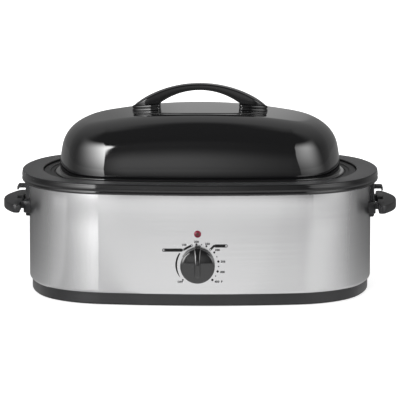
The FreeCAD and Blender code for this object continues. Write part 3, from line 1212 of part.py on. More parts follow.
def supply_lead(back_x, front_x, steps):
    """A lead from under the terminal block, low round the left end, to the controls.

    The steps (inward, up) lead on from where it leaves the outline near front_x.
    """
    offset = LEAD_OFFSET
    room = LEAD_BEND_RADIUS / (SIDE_RADIUS + offset)
    back = back_angle(back_x, offset) + room
    front = front_angle(front_x, offset) - room
    edges = [arc_edge(ARCS[BACK], offset, LEAD_Z, first=back)]
    edges += [arc_edge(ARCS[index], offset, LEAD_Z) for index in (BACK_LEFT, LEFT_END, FRONT_LEFT)]
    edges.append(arc_edge(ARCS[FRONT], offset, LEAD_Z, last=front))
    start = arc_point(ARCS[BACK], back, offset, LEAD_Z)
    foot = start - arc_tangent(back) * LEAD_BEND_RADIUS
    riser = [V(foot.x, foot.y, ENTRY_Z - BLOCK_HALF_HEIGHT), foot, start]
    end = arc_point(ARCS[FRONT], front, offset, LEAD_Z)
    tail = [end, end + arc_tangent(front) * LEAD_BEND_RADIUS]
    for inward, up in steps:
        tail.append(tail[-1] + V(0, inward, up))
    bends = [LEAD_BEND_RADIUS] * len(tail)
    return wire_along(rounded_edges(riser, bends) + edges + rounded_edges(tail, bends), LEAD_RADIUS)


def live_lead():
    rise = CONTROL_Z - THERMOSTAT_HALF_HEIGHT - LEAD_Z
    return supply_lead(BLOCK_X - BLOCK_WIRE_X, -THERMOSTAT_HALF_WIDTH / 2, [(0, rise)])


def neutral_lead():
    """Built round the left end and mirrored, because the block and the pin lie the other way round."""
    pin_z = ELEMENT_HEIGHTS[0]
    run = half_depth(PIN_MIDDLE_X, LEAD_OFFSET) - half_depth(PIN_MIDDLE_X, element_offset(pin_z))
    steps = [(run, 0), (0, pin_z - ELEMENT_PIN_RADIUS - LEAD_Z)]
    return supply_lead(-BLOCK_X - BLOCK_WIRE_X, -PIN_MIDDLE_X, steps).mirror(ORIGIN, X_AXIS)


def lamp_leads():
    """Two thin leads from the back of the lamp down to the top of the thermostat."""
    back = -BODY_HALF_DEPTH + 2 * SHELL_WALL + LAMP_BULB_RADIUS + LAMP_BULB_LENGTH
    bend = LAMP_LEAD_RADIUS * 8
    low = CONTROL_Z + THERMOSTAT_HALF_HEIGHT
    return [bent_wire([V(x, back, LAMP_Z), V(x, back + bend, LAMP_Z), V(x, back + bend, low)], bend * 0.9,
                      LAMP_LEAD_RADIUS) for x in (-2 * LAMP_LEAD_RADIUS, 2 * LAMP_LEAD_RADIUS)]


# ---- every node and its solids --------------------------------------------------------------------
def model():
    right_handle = right_side_handle()
    return {
        "base_ring": [base_ring()],
        "bottom_plate": [bottom_plate()],
        "bottom_plate_screws": around_outline(plate_screw),
        "rubber_feet": rubber_feet(),
        "foot_screws": [foot_screw(place) for place in foot_places()],
        "outer_shell": [outer_shell()],
        "top_rim": [top_rim()],
        "rim_screws": around_outline(rim_screw),
        "liner": [liner()],
        "heating_elements": heating_elements(),
        "element_clips": element_clips(),
        "element_jumper": [element_jumper()],
        "insulation_wrap": [insulation_wrap()],
        "heat_shield": [heat_shield()],
        "tie_studs": tie_studs(),
        "stud_nuts": stud_nuts(),
        "thermal_fuse": [thermal_fuse()],
        "thermal_fuse_strap": [thermal_fuse_strap()],
        "thermostat_body": [thermostat_body()],
        "thermostat_bracket": [thermostat_bracket()],
        "thermostat_screws": bracket_screws(),
        "pilot_lamp_lens": [pilot_lamp_lens()],
        "pilot_lamp_bulb": [pilot_lamp_bulb()],
        "pilot_lamp_clip": [pilot_lamp_clip()],
        "cord_gland": [cord_gland()],
        "gland_nut": [gland_nut()],
        "terminal_block": [terminal_block()],
        "terminal_block_screws": block_screws(),
        "earth_screw": [earth_screw()],
        "earth_nut": [earth_nut()],
        "live_lead": [live_lead()],
        "neutral_lead": [neutral_lead()],
        "fuse_leads": fuse_leads(),
        "lamp_leads": lamp_leads(),
        "right_side_handle": [right_handle],
        "left_side_handle": [right_handle.mirror(ORIGIN, X_AXIS)],
        "side_handle_screws": side_handle_screws(),
        "roasting_pan": [roasting_pan()],
        "rack_frame": [rack_frame()],
        "rack_wires": rack_wires(),
        "rack_runners": both_ends(rack_runner()),
        "rack_handles": both_ends(rack_handle()),
        "lid_shell": [lid_shell()],
        "lid_handle": [lid_handle()],
        "lid_handle_feet": lid_handle_feet(),
        "lid_handle_screws": lid_handle_screws(),
        "lid_handle_washers": lid_handle_washers(),
        "knob": [knob()],
        "thermostat_shaft": [thermostat_shaft()],
        "knob_spring_clip": [knob_spring_clip()],
    }


os.makedirs("parts", exist_ok=True)
for name, solids in model().items():
    pieces = [solid for shape in solids for solid in shape.Solids]
    Part.makeCompound(pieces).exportStep(os.path.join("parts", name + ".step"))
    print(name, len(pieces), "solids", round(sum(piece.Volume for piece in pieces)), "mm3")
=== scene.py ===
"""Electric roaster oven: finishes, printed dial and fine parts around the fixed frame.

Metres, +Z up, -Y towards the control knob. Lengths named in millimetres are multiplied by MM.
"""

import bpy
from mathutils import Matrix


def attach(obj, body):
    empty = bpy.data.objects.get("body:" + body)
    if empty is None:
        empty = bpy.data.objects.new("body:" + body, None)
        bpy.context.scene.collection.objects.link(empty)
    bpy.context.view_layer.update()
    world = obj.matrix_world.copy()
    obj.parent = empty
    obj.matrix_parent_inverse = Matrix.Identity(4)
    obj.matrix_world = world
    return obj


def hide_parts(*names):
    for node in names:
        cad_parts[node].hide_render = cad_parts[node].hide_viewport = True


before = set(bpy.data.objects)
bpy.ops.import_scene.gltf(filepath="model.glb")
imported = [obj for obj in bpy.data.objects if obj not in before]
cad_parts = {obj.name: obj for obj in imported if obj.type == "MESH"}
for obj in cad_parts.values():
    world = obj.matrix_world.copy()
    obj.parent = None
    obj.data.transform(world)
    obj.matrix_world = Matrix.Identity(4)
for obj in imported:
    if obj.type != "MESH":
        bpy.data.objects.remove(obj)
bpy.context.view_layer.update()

# ---- Studio ----------------------------------------------------------------------------------
# A long lens stands a little above the rim and a touch to the right. The camera sees the room white.
# Gloss sees it dim, with a lit wall in front and an upright softbox at each side.
import bpy
import bmesh
import math
from mathutils import Matrix, Vector

MM = 0.001
PICTURE = 400                   # pixels a side
SENSOR = 36.0
FOCAL_LENGTH = 3212.2           # in pixels
AIM_ROW = 191.03                # the picture's row that shows the point aimed at
AIM = Vector((0, 0, 0.150))
VIEW_TURN, VIEW_RISE, VIEW_DISTANCE = 1.11, 8.478, 4.9964       # degrees to the right, degrees up, metres


class Socket:
    """A node's output in one tree. Sums on it add Math nodes, and node() adds any other node."""

    def __init__(self, tree, output=None):
        self.tree = tree
        self.output = output

    def node(self, kind, settings=None, values=None, out=0):
        made = self.tree.nodes.new(kind)
        for name, value in (settings or {}).items():
            setattr(made, name, value)
        for name, value in (values or {}).items():
            if isinstance(value, Socket):
                self.tree.links.new(value.output, made.inputs[name])
            elif isinstance(value, (tuple, Vector)) and made.inputs[name].type == "RGBA":
                made.inputs[name].default_value = (*value, 1)[:4]
            else:
                made.inputs[name].default_value = value
        return Socket(self.tree, made.outputs[out] if made.outputs else None)

    def math(self, operation, *values):
        return self.node("ShaderNodeMath", {"operation": operation}, dict(enumerate(values)))

    def __add__(self, other): return self.math("ADD", self, other)
    def __radd__(self, other): return self.math("ADD", other, self)
    def __sub__(self, other): return self.math("SUBTRACT", self, other)
    def __rsub__(self, other): return self.math("SUBTRACT", other, self)
    def __mul__(self, other): return self.math("MULTIPLY", self, other)
    def __rmul__(self, other): return self.math("MULTIPLY", other, self)
    def __truediv__(self, other): return self.math("DIVIDE", self, other)
    def __rtruediv__(self, other): return self.math("DIVIDE", other, self)

    def step(self, low, high, to_low=0.0, to_high=1.0):
        """A soft step: to_low up to low, to_high from high on."""
        return self.node("ShaderNodeMapRange", {"interpolation_type": "SMOOTHSTEP"},
                         {"Value": self, "From Min": low, "From Max": high,
                          "To Min": to_low, "To Max": to_high})

    def between(self, low, high, soft):
        return self.step(low - soft, low + soft) * self.step(high - soft, high + soft, 1.0, 0.0)

    def axes(self):
        split = self.node("ShaderNodeSeparateXYZ", {}, {"Vector": self})
        outputs = split.output.node.outputs
        return [Socket(self.tree, output) for output in outputs]


def ray(tree, *kinds):
    """1 for rays of these kinds."""
    total, *others = [tree.node("ShaderNodeLightPath", out=kind) for kind in kinds]
    for other in others:
        total = total.math("MAXIMUM", total, other)
    return total


def linked(name, data):
    """A new object in the scene."""
    made = bpy.data.objects.new(name, data)
    bpy.context.scene.collection.objects.link(made)
    return made


def camera():
    turn, rise = math.radians(VIEW_TURN), math.radians(VIEW_RISE)
    back = Vector((math.sin(turn) * math.cos(rise), -math.cos(turn) * math.cos(rise), math.sin(rise)))
    data = bpy.data.cameras.new("camera")
    data.sensor_width = SENSOR
    data.lens = FOCAL_LENGTH / PICTURE * SENSOR
    data.shift_y = (AIM_ROW - PICTURE / 2) / PICTURE
    data.clip_end = 60
    lens = linked("camera", data)
    lens.location = AIM + back * VIEW_DISTANCE
    lens.rotation_euler = back.to_track_quat("Z", "Y").to_euler()
    bpy.context.scene.camera = lens


def soft_lamp(name, place, aim, size, power):
    data = bpy.data.lights.new(name, "AREA")
    data.shape = "RECTANGLE"
    data.size, data.size_y = size
    data.energy = power
    lamp = linked(name, data)
    lamp.location = place
    lamp.rotation_euler = (Vector(place) - Vector(aim)).to_track_quat("Z", "Y").to_euler()
    lamp.visible_glossy = False


# What gloss sees, in degrees to the right of the front and degrees up. The wall in front is lit on its left
# and low down, a softbox stands at each side, and behind a dim wall rises to a pale ceiling that stops
# short of overhead. Each is a plain shape of light with soft edges.
DIM = 0.09                      # what is left everywhere
FRONT_LIGHT = 1.0
LEFT_START, LEFT_END, LEFT_LIGHT = -110, -25, 18.0      # brightest at the end near the front
RIGHT_EDGE, RIGHT_MIDDLE, RIGHT_END, RIGHT_LIGHT = 37, 66, 106, 5.5
SHARP, SOFT = 0.7, 8.0          # half an edge's width, straight and as the floor shows it
NEAR_FLOOR, BACK_FLOOR = 1.07, 0.12     # the floor close by, in front and behind
LEFT_SHADE, RIGHT_SHADE = 0.25, 0.07    # how much darker that floor is before each softbox
HORIZON = 0.25                  # a pale strip straight behind
ROOM_LIGHT = 0.62               # what lights matt surfaces
FLOOR_REACH = 14.0
FLOOR_GLOW, FLOOR_FADE = 0.74, 0.5      # the floor as the camera sees it close by, and its gain far off
NEAR_EDGE = 1.28, 1.37          # metres from the middle
GLOSS_HEIGHT, GLOSS_DEPTH = 0.195, 0.18     # where the body's gloss looks from


def azimuth_of(x, y):
    return x.math("ARCTAN2", x, -1 * y) * (180 / math.pi)


def studio_glow(azimuth, height, edge=SHARP):
    side = azimuth.math("ABSOLUTE", azimuth)
    front = azimuth.step(-26, -17) * azimuth.step(-8, 24, 1.0, 0.2) * azimuth.step(36, 60, 1.0, 0.0)
    front = front * height.step(-8, 3, 0.1, 1.0) * height.step(5, 15, 1.0, 0.1)
    front = front * height.step(20, 35, 1.0, 0.0)
    leaning = azimuth + height.step(-8, 14, 0.0, -2.0) + height.step(20, 50, 0.0, 15.0)
    along = (leaning - LEFT_START) / (LEFT_END - LEFT_START)
    along = along.math("MAXIMUM", along, 0.0)
    left = along * along * leaning.step(LEFT_END - edge, LEFT_END + edge, LEFT_LIGHT, 0.0)
    leaning = azimuth + height.step(-10, 14, -6.0, 7.5) + height.step(22, 55, 0.0, -16.0)
    right = leaning.step(RIGHT_EDGE - SHARP, RIGHT_EDGE + SHARP) * leaning.step(10, RIGHT_MIDDLE)
    right = right * leaning.step(RIGHT_MIDDLE, RIGHT_END, RIGHT_LIGHT, 0.0)
    boxes = (left + right) * height.step(-8, 18, 0.12, 1.0) * height.step(20, 42, 1.0, 0.0)
    behind = height.step(10, 66, 0.15, 0.45) * height.step(66, 84, 1.0, 0.0) * side.step(60, 110)
    horizon = side.step(175, 178.5) * height.between(-4, 13, 3) * HORIZON
    return front * FRONT_LIGHT + boxes + behind + horizon + DIM


def near_floor(azimuth):
    """The floor close by gets darker towards the back, and is shaded before each softbox."""
    shade = azimuth.between(-66, -26, 3) * LEFT_SHADE + azimuth.between(20, 37, 2) * RIGHT_SHADE
    return azimuth.math("ABSOLUTE", azimuth).step(0, 160, NEAR_FLOOR, BACK_FLOOR) * (1 - shade)


def room():
    world = bpy.data.worlds.new("room")
    world.use_nodes = True
    world.node_tree.nodes.clear()
    world.cycles.sampling_method = "NONE"
    tree = Socket(world.node_tree)
    x, y, z = tree.node("ShaderNodeTexCoord").axes()
    height = z.math("ARCSINE", z) * (180 / math.pi)
    camera_ray = ray(tree, "Is Camera Ray")
    gloss_ray = ray(tree, "Is Glossy Ray", "Is Transmission Ray")
    strength = camera_ray + gloss_ray * studio_glow(azimuth_of(x, y), height)
    strength = strength + (1 - camera_ray) * (1 - gloss_ray) * ROOM_LIGHT
    light = tree.node("ShaderNodeBackground", {}, {"Strength": strength})
    tree.node("ShaderNodeOutputWorld", {}, {"Surface": light})
    bpy.context.scene.world = world


def blank_material(name):
    material = bpy.data.materials.new(name)
    material.use_nodes = True
    material.node_tree.nodes.clear()
    return material


def studio_floor():
    mesh = bpy.data.meshes.new("studio_floor")
    corners = [(x * FLOOR_REACH, y * FLOOR_REACH, 0) for x, y in ((-1, -1), (1, -1), (1, 1), (-1, 1))]
    mesh.from_pydata(corners, [], [(0, 1, 2, 3)])
    ground = linked("studio_floor", mesh)
    material = blank_material("pale_floor")
    mesh.materials.append(material)
    tree = Socket(material.node_tree)
    place = tree.node("ShaderNodeTexCoord", out=3)
    x, y, z = place.axes()
    azimuth = azimuth_of(x, y)
    away = place.node("ShaderNodeVectorMath", {"operation": "LENGTH"}, {"Vector": place}, out=1)
    camera_ray = ray(tree, "Is Camera Ray")
    gloss_ray = ray(tree, "Is Glossy Ray", "Is Transmission Ray")
    height = away.math("ARCTAN2", GLOSS_HEIGHT, away - GLOSS_DEPTH) * (-180 / math.pi)
    near = away.step(*NEAR_EDGE, 1.0, 0.0)
    far = height.step(-7.0, -4.5)
    beyond = far * studio_glow(azimuth, height) + (1 - far) * studio_glow(azimuth, height, SOFT)
    gain = 1 + away.step(1.02, 1.26) * azimuth.step(-40, -12, 0.26, 0.10)
    gloss = near * near_floor(azimuth) * gain + (1 - near) * beyond
    glow = camera_ray * (FLOOR_GLOW + away.step(0.5, 1.4) * FLOOR_FADE) + gloss_ray * gloss
    pale = tree.node("ShaderNodeBsdfDiffuse", {}, {"Color": (0.62, 0.62, 0.62)})
    dark = tree.node("ShaderNodeBsdfDiffuse", {}, {"Color": (0.0, 0.0, 0.0)})
    matt = tree.node("ShaderNodeMixShader", {}, {0: gloss_ray, 1: pale, 2: dark})
    shine = tree.node("ShaderNodeEmission", {}, {"Strength": glow})
    both = tree.node("ShaderNodeAddShader", {}, {0: matt, 1: shine})
    tree.node("ShaderNodeOutputMaterial", {}, {"Surface": both})


bpy.context.scene.view_settings.view_transform = "Standard"
camera()
soft_lamp("lamp_above", (-0.5, -1.2, 2.4), (0, 0, 0.1), (2.2, 1.8), 30)
soft_lamp("lamp_left", (-1.9, -1.3, 0.9), (0, 0, 0.15), (1.0, 1.4), 12)
soft_lamp("lamp_right", (1.9, -1.3, 0.9), (0, 0, 0.15), (1.0, 1.4), 8)
room()
studio_floor()

# ---- Base ring, bottom plate and feet --------------------------------------------------------
# The base ring is moulded in black heat-proof plastic with a fine spark-eroded grain. A vented plate
# of dull aluminised steel closes it from below, on four rubber feet and cross-head screws.
BLACK = (0.0125, 0.0125, 0.0135)


class Finish(Socket):
    """A new material's tree, which ends in one Principled shader."""

    def __init__(self, name):
        self.material = blank_material(name)
        super().__init__(self.material.node_tree)
        self.place = self.node("ShaderNodeTexCoord", out=3)

    def scaled(self, *factors):
        """Object coordinates stretched by these factors."""
        return self.node("ShaderNodeMapping", {}, {"Vector": self.place, "Scale": factors})

    def cloud(self, scale, detail=2.0, roughness=0.5, stretch=(1, 1, 1)):
        """Soft noise about 0.5, with this many waves to the metre."""
        return self.node("ShaderNodeTexNoise", {}, {"Vector": self.scaled(*stretch), "Scale": scale,
                                                    "Detail": detail, "Roughness": roughness})

    def cells(self, scale, stretch=(1, 1, 1)):
        return self.node("ShaderNodeTexVoronoi", {}, {"Vector": self.scaled(*stretch), "Scale": scale})

    def blend(self, factor, first, second):
        return self.node("ShaderNodeMix", {"data_type": "RGBA"}, {0: factor, 6: first, 7: second}, out=2)

    def relief(self, height, depth, under=None):
        values = {"Height": height, "Distance": depth}
        if under is not None:
            values["Normal"] = under
        return self.node("ShaderNodeBump", {}, values)

    def end(self, **values):
        named = {name.replace("_", " "): value for name, value in values.items()}
        shader = self.node("ShaderNodeBsdfPrincipled", {}, named)
        self.node("ShaderNodeOutputMaterial", {}, {"Surface": shader})
        return self.material


def dress(material, *nodes):
    """Gives CAD nodes this material."""
    for node in nodes:
        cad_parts[node].material_slots[0].material = material


def black_moulding(name, gloss, grain, shaded=0.0):
    """Black phenolic: fine grain, faint flow marks and a dusty bloom. Shaded is how much painted shade
    darkens its underside.
    """
    coat = Finish(name)
    flow = coat.cloud(14, 3)
    speck = coat.cloud(900, 2)
    pits = coat.cells(1500)
    colour = coat.blend(flow.step(0.35, 0.7) * 0.5 + speck.step(0.5, 0.8) * 0.2, BLACK, (0.021, 0.021, 0.023))
    bump = coat.relief(pits + speck, grain * MM)
    bump = coat.relief(coat.cloud(60, 2), 0.03 * MM, bump)
    # Painted shade: faces that point down are darkened by the shaded amount, and made rougher too.
    under = coat.node("ShaderNodeNewGeometry", out=1).axes()[2].step(-0.6, -0.03, shaded, 0.0)
    colour = coat.blend(under, colour, (0.001, 0.001, 0.001))
    return coat.end(Base_Color=colour, Roughness=gloss + flow * 0.10 + speck * 0.05 + under * 0.5,
                    Normal=bump)


satin_black = black_moulding("satin_black_moulding", 0.30, 0.012)
# The base ring gets the full painted shade on its underside, so its bottom edge reads dark.
dress(black_moulding("base_moulding", 0.30, 0.012, 1.0), "base_ring")


def aluminised_sheet():
    """Dull aluminised steel with a rolled grain and soft spangle."""
    sheet = Finish("aluminised_sheet")
    spangle = sheet.cells(160)
    rolled = sheet.cloud(12, 3, stretch=(1, 40, 1))
    stain = sheet.cloud(22, 4)
    share = spangle * 0.6 + stain.step(0.45, 0.75) * 0.35
    tone = sheet.blend(share, (0.56, 0.56, 0.55), (0.403, 0.403, 0.396))
    rough = 0.30 + rolled * 0.12 + spangle * 0.10
    return sheet.end(Base_Color=tone, Metallic=1.0, Roughness=rough, Normal=sheet.relief(rolled, 0.02 * MM))


plated = aluminised_sheet()
dress(plated, "bottom_plate")


def rubber():
    skin = Finish("foot_rubber")
    dust = skin.cloud(240, 4)
    colour = skin.blend(dust.step(0.55, 0.8) * 0.5, (0.018, 0.018, 0.018), (0.045, 0.043, 0.04))
    return skin.end(Base_Color=colour, Roughness=0.62 + dust * 0.2,
                    Normal=skin.relief(skin.cells(900), 0.03 * MM))


dress(rubber(), "rubber_feet")

SIDE_RADIUS, END_RADIUS, CORNER_RADIUS = 920.0, 252.0, 127.0    # the wrap's outline seen from above
HALF_LENGTH, HALF_DEPTH = 265.0, 184.0


def outline_arcs():
    """The wrap's eight tangent arcs as (centre, radius, first angle, last angle), in millimetres."""
    side = Vector((0, HALF_DEPTH - SIDE_RADIUS))
    end = Vector((HALF_LENGTH - END_RADIUS, 0))
    to_side, to_end = SIDE_RADIUS - CORNER_RADIUS, END_RADIUS - CORNER_RADIUS
    between = end - side
    along = (to_side ** 2 - to_end ** 2 + between.length ** 2) / (2 * between.length)
    unit = between.normalized()
    corner = side + unit * along + Vector((unit.y, -unit.x)) * math.sqrt(to_side ** 2 - along ** 2)
    low = math.atan2(corner.y, corner.x - end.x)
    high = math.atan2(corner.y - side.y, corner.x)
    half = math.pi
    mirrored = Vector((-corner.x, corner.y))
    return [(end, END_RADIUS, -low, low), (corner, CORNER_RADIUS, low, high),
            (side, SIDE_RADIUS, high, half - high), (mirrored, CORNER_RADIUS, half - high, half - low),
            (-end, END_RADIUS, half - low, half + low), (-corner, CORNER_RADIUS, half + low, half + high),
            (-side, SIDE_RADIUS, half + high, 2 * half - high),
            (-mirrored, CORNER_RADIUS, 2 * half - high, 2 * half - low)]


ARCS = outline_arcs()


def outline_point(angle, offset, z):
    """The point of the outline, grown by the offset, whose normal points at this angle from +X."""
    start = ARCS[0][2]
    angle = (angle - start) % math.tau + start
    centre, radius = next((arc[0], arc[1]) for arc in ARCS if angle <= arc[3] + 1e-9)
    reach = radius + offset
    return Vector((centre.x + reach * math.cos(angle), centre.y + reach * math.sin(angle), z)) * MM


def mesh_object(name, points, faces, body, material=None):
    mesh = bpy.data.meshes.new(name)
    mesh.from_pydata(points, [], faces)
    made = linked(name, mesh)
    work = bmesh.new()
    work.from_mesh(mesh)
    bmesh.ops.remove_doubles(work, verts=work.verts, dist=0.002 * MM)
    bmesh.ops.recalc_face_normals(work, faces=work.faces)
    wide = [face for face in work.faces if len(face.verts) > 4]
    bmesh.ops.triangulate(work, faces=wide, ngon_method="EAR_CLIP")
    work.to_mesh(mesh)
    work.free()
    if material:
        mesh.materials.append(material)
    if body:
        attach(made, body)
    return made


def settled(made, slot, *nodes, sharp=35):
    """Shades a finished piece and hides these CAD nodes, which it stands for. The slot is not used."""
    made.data.shade_smooth()
    made.data.set_sharp_from_angle(angle=math.radians(sharp))
    if nodes:
        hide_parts(*nodes)
    return made


def plain_mesh(made):
    """The mesh that a curve, a text or an object with a modifier comes to."""
    bpy.context.view_layer.update()
    return bpy.data.meshes.new_from_object(made.evaluated_get(bpy.context.evaluated_depsgraph_get()))


def turned(profile, count):
    """Points and faces of a profile of (radius, height) turned about Z; it starts and ends on the axis."""
    points, faces = [(0, 0, profile[0][1])], []
    for radius, height in profile[1:-1]:
        points += [(radius * math.cos(math.tau * turn / count), radius * math.sin(math.tau * turn / count),
                    height) for turn in range(count)]
    points.append((0, 0, profile[-1][1]))
    rings = len(profile) - 2
    for turn in range(count):
        after = (turn + 1) % count
        faces.append((0, 1 + after, 1 + turn))
        last = 1 + (rings - 1) * count
        faces.append((last + turn, last + after, len(points) - 1))
        for level in range(rings - 1):
            low = 1 + level * count
            faces.append((low + turn, low + after, low + count + after, low + count + turn))
    return points, faces


def cross_head(name, head, rise, shank, length):
    """One pan-head screw with a cross recess: the head's seat is at the origin and faces +Z."""
    parts = (0.1, 0.2, 0.32, 0.44, 0.56, 0.7, 0.84, 0.95)
    crown = [(head * part, rise * (1 - 0.55 * part ** 4)) for part in parts]
    steps = [(0, rise), *crown, (head, rise * 0.3), (head, 0), (shank, 0), (shank, -length + shank),
             (shank * 0.5, -length), (0, -length)]
    points, faces = turned([(radius * MM, height * MM) for radius, height in steps], 48)
    cut, deep = head * 0.13 * MM, head * 0.62 * MM
    shaped = []
    for x, y, z in points:
        if z > rise * 0.4 * MM:
            near, far = sorted((abs(x), abs(y)))
            if near < cut * 1.4 and far < deep:
                z -= rise * 0.5 * MM * min(1, (deep - far) / (deep * 0.35))
        shaped.append((x, y, z))
    return mesh_object(name, shaped, faces, None)


def tree_with(name, **ports):
    """A Geometry Nodes tree with these inputs: its start, and the inputs by name."""
    tree = bpy.data.node_groups.new(name, "GeometryNodeTree")
    for label, kind in ports.items():
        tree.interface.new_socket(label, in_out="INPUT", socket_type="NodeSocket" + kind)
    tree.interface.new_socket("Geometry", in_out="OUTPUT", socket_type="NodeSocketGeometry")
    start = Socket(tree)
    given = start.node("NodeGroupInput")
    return start, {output.name: Socket(tree, output) for output in given.output.node.outputs}


def finished(start, geometry, finish):
    solid = start.node("GeometryNodeRealizeInstances", {}, {"Geometry": geometry})
    coated = start.node("GeometryNodeSetMaterial", {}, {"Geometry": solid, "Material": finish})
    start.node("NodeGroupOutput", {}, {"Geometry": coated})
    return start.tree


def carried(start, name, kind="FLOAT"):
    """What each point carries under this name."""
    return start.node("GeometryNodeInputNamedAttribute", {"data_type": kind}, {"Name": name})


def spread_tree():
    """Copies of one object on the points of a mesh, each turned to its point's aim and spun at random."""
    start, port = tree_with("screws_on_points", Geometry="Geometry", Part="Object", Size="Float",
                            Spin="Float", Seed="Int", Finish="Material")
    part = start.node("GeometryNodeObjectInfo", {}, {"Object": port["Part"]}, out="Geometry")
    aim = carried(start, "aim", "FLOAT_VECTOR")
    turn = start.node("FunctionNodeAlignRotationToVector", {"axis": "Z"}, {"Vector": aim})
    spin = start.node("FunctionNodeRandomValue", {"data_type": "FLOAT"}, {"Seed": port["Seed"]}, out=1)
    about = start.node("ShaderNodeCombineXYZ", {}, {"Z": port["Spin"] * spin})
    spun = start.node("FunctionNodeEulerToRotation", {}, {"Euler": about})
    turn = start.node("FunctionNodeRotateRotation", {"rotation_space": "LOCAL"},
                      {"Rotation": turn, "Rotate By": spun})
    size = start.node("ShaderNodeCombineXYZ", {}, {axis: port["Size"] for axis in "XYZ"})
    placed = start.node("GeometryNodeInstanceOnPoints", {},
                        {"Points": port["Geometry"], "Instance": part, "Rotation": turn, "Scale": size})
    return finished(start, placed, port["Finish"])


def grown(name, tree, points, attribute, inputs, body):
    """Points with an attribute, put through a Geometry Nodes tree and kept as a plain mesh on one body."""
    label, kind, values = attribute
    mesh = bpy.data.meshes.new(name + "_points")
    mesh.from_pydata(points, [], [])
    for item, value in zip(mesh.attributes.new(label, kind, "POINT").data, values):
        setattr(item, "vector" if kind == "FLOAT_VECTOR" else "value", value)
    holder = linked(name + "_points", mesh)
    modifier = holder.modifiers.new("grow", "NODES")
    modifier.node_group = tree
    for item in tree.interface.items_tree:
        if item.in_out == "INPUT" and item.name in inputs:
            modifier[item.identifier] = inputs[item.name]
    result = plain_mesh(holder)
    result.name = name
    bpy.data.objects.remove(holder)
    if label in result.attributes:
        result.attributes.remove(result.attributes[label])
    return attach(linked(name, result), body)


def plated_steel(name, colour):
    """Bright zinc or brass with draw marks and a little tarnish."""
    metal = Finish(name)
    stain = metal.cloud(300, 3)
    marks = metal.cloud(90, 2, stretch=(1, 1, 14))
    tone = metal.blend(stain.step(0.45, 0.8) * 0.6, colour, tuple(part * 0.6 for part in colour))
    return metal.end(Base_Color=tone, Metallic=1.0, Roughness=0.22 + stain * 0.22,
                     Normal=metal.relief(marks, 0.01 * MM))


zinc = plated_steel("zinc_plated_steel", (0.62, 0.61, 0.58))
screw_spread = spread_tree()


def screws(name, node, places, head, length, body, shank=1.5, rise=1.8):
    """Zinc-plated screws that point up, with their heads' seats at these places, for one CAD node."""
    pattern = cross_head(name + "_pattern", head, rise, shank, length)
    made = grown(name, screw_spread, places, ("aim", "FLOAT_VECTOR", [(0, 0, -1)] * len(places)),
                 {"Part": pattern, "Size": 1.0, "Spin": math.tau, "Seed": len(places), "Finish": zinc}, body)
    bpy.data.objects.remove(pattern)
    settled(made, "screw_steel", node)


PLATE_SCREW_INSET, PLATE_SCREW_SEAT = 14.0, 6.0
FOOT_X, FOOT_Y, FOOT_SCREW_SEAT = 176, 108, 3.2
screws("base_plate_screws", "bottom_plate_screws",
       [outline_point((first + last) / 2, -PLATE_SCREW_INSET, PLATE_SCREW_SEAT)
        for centre, radius, first, last in ARCS],
       3.2, 6.0, "cabinet")
screws("rubber_foot_screws", "foot_screws",
       [Vector((x * FOOT_X, y * FOOT_Y, FOOT_SCREW_SEAT)) * MM for x in (-1, 1) for y in (-1, 1)],
       3.2, 8.8, "cabinet")

# ---- Steel wrap ------------------------------------------------------------------------------
# One band of stainless sheet round the body, brushed along its length. Its lower edge is rolled under
# onto the base ring, its upper edge is hidden in the rim's skirt.


def brushed_stainless():
    """Finer brushed towards the top and duller at both ends, where it goes round under the handles."""
    steel = Finish("brushed_stainless")
    hair = steel.cloud(1, 2, 0.6, stretch=(14, 14, 2600))
    streak = steel.cloud(1, 3, 0.6, stretch=(3, 3, 420))
    haze = steel.cloud(5, 2)
    tone = steel.blend(streak.step(0.3, 0.7), (0.645, 0.645, 0.65), (0.66, 0.66, 0.665))
    x, y, z = steel.place.axes()
    end = x.math("ABSOLUTE", x).step(0.214, 0.244)
    fine = z.step(0.11, 0.165) * (1 - end)
    rough = (0.13 + hair * 0.03 + haze * 0.03) * (1.0 - fine * 0.65) + end * 0.24
    return steel.end(Base_Color=tone, Metallic=1.0, Roughness=rough, Anisotropic=0.8,
                     Anisotropic_Rotation=0.25, Normal=steel.relief(hair, 0.002 * MM))


dress(brushed_stainless(), "outer_shell")

# ---- Liner and heating -----------------------------------------------------------------------
# A deep drawn liner of aluminised sheet hangs from the rim. Two sheathed elements run round it on
# clips, a bright shield lies under it and a mineral-wool blanket is wrapped about it with tie studs.
dress(plated, "liner", "heat_shield", "element_clips", "element_jumper")
dress(zinc, "tie_studs", "stud_nuts")


def element_sheath():
    sheath = Finish("element_sheath")
    scale = sheath.cloud(60, 4)
    fine = sheath.cloud(700, 3)
    tone = sheath.blend(scale.step(0.4, 0.7), (0.055, 0.052, 0.05), (0.12, 0.105, 0.09))
    return sheath.end(Base_Color=tone, Metallic=0.6, Roughness=0.5 + fine * 0.25,
                      Normal=sheath.relief(fine, 0.02 * MM))


def mineral_wool():
    wool = Finish("mineral_wool")
    tuft = wool.cloud(120, 5, 0.7)
    fibre = wool.cloud(60, 4, 0.7, stretch=(1, 1, 12))
    tone = wool.blend(tuft.step(0.3, 0.7), (0.42, 0.38, 0.28), (0.62, 0.58, 0.47))
    return wool.end(Base_Color=tone, Roughness=0.95, Normal=wool.relief(tuft + fibre * 0.6, 0.8 * MM))


dress(element_sheath(), "heating_elements")
dress(mineral_wool(), "insulation_wrap")

# ---- Thermostat, fuse and wiring -------------------------------------------------------------
# The thermostat's case is cream moulding on a steel bracket behind the dial. A can-shaped thermal fuse
# is strapped to the liner. Leads are copper in woven glass sleeving, and a block joins them.
dress(plated, "thermostat_bracket", "thermal_fuse_strap")


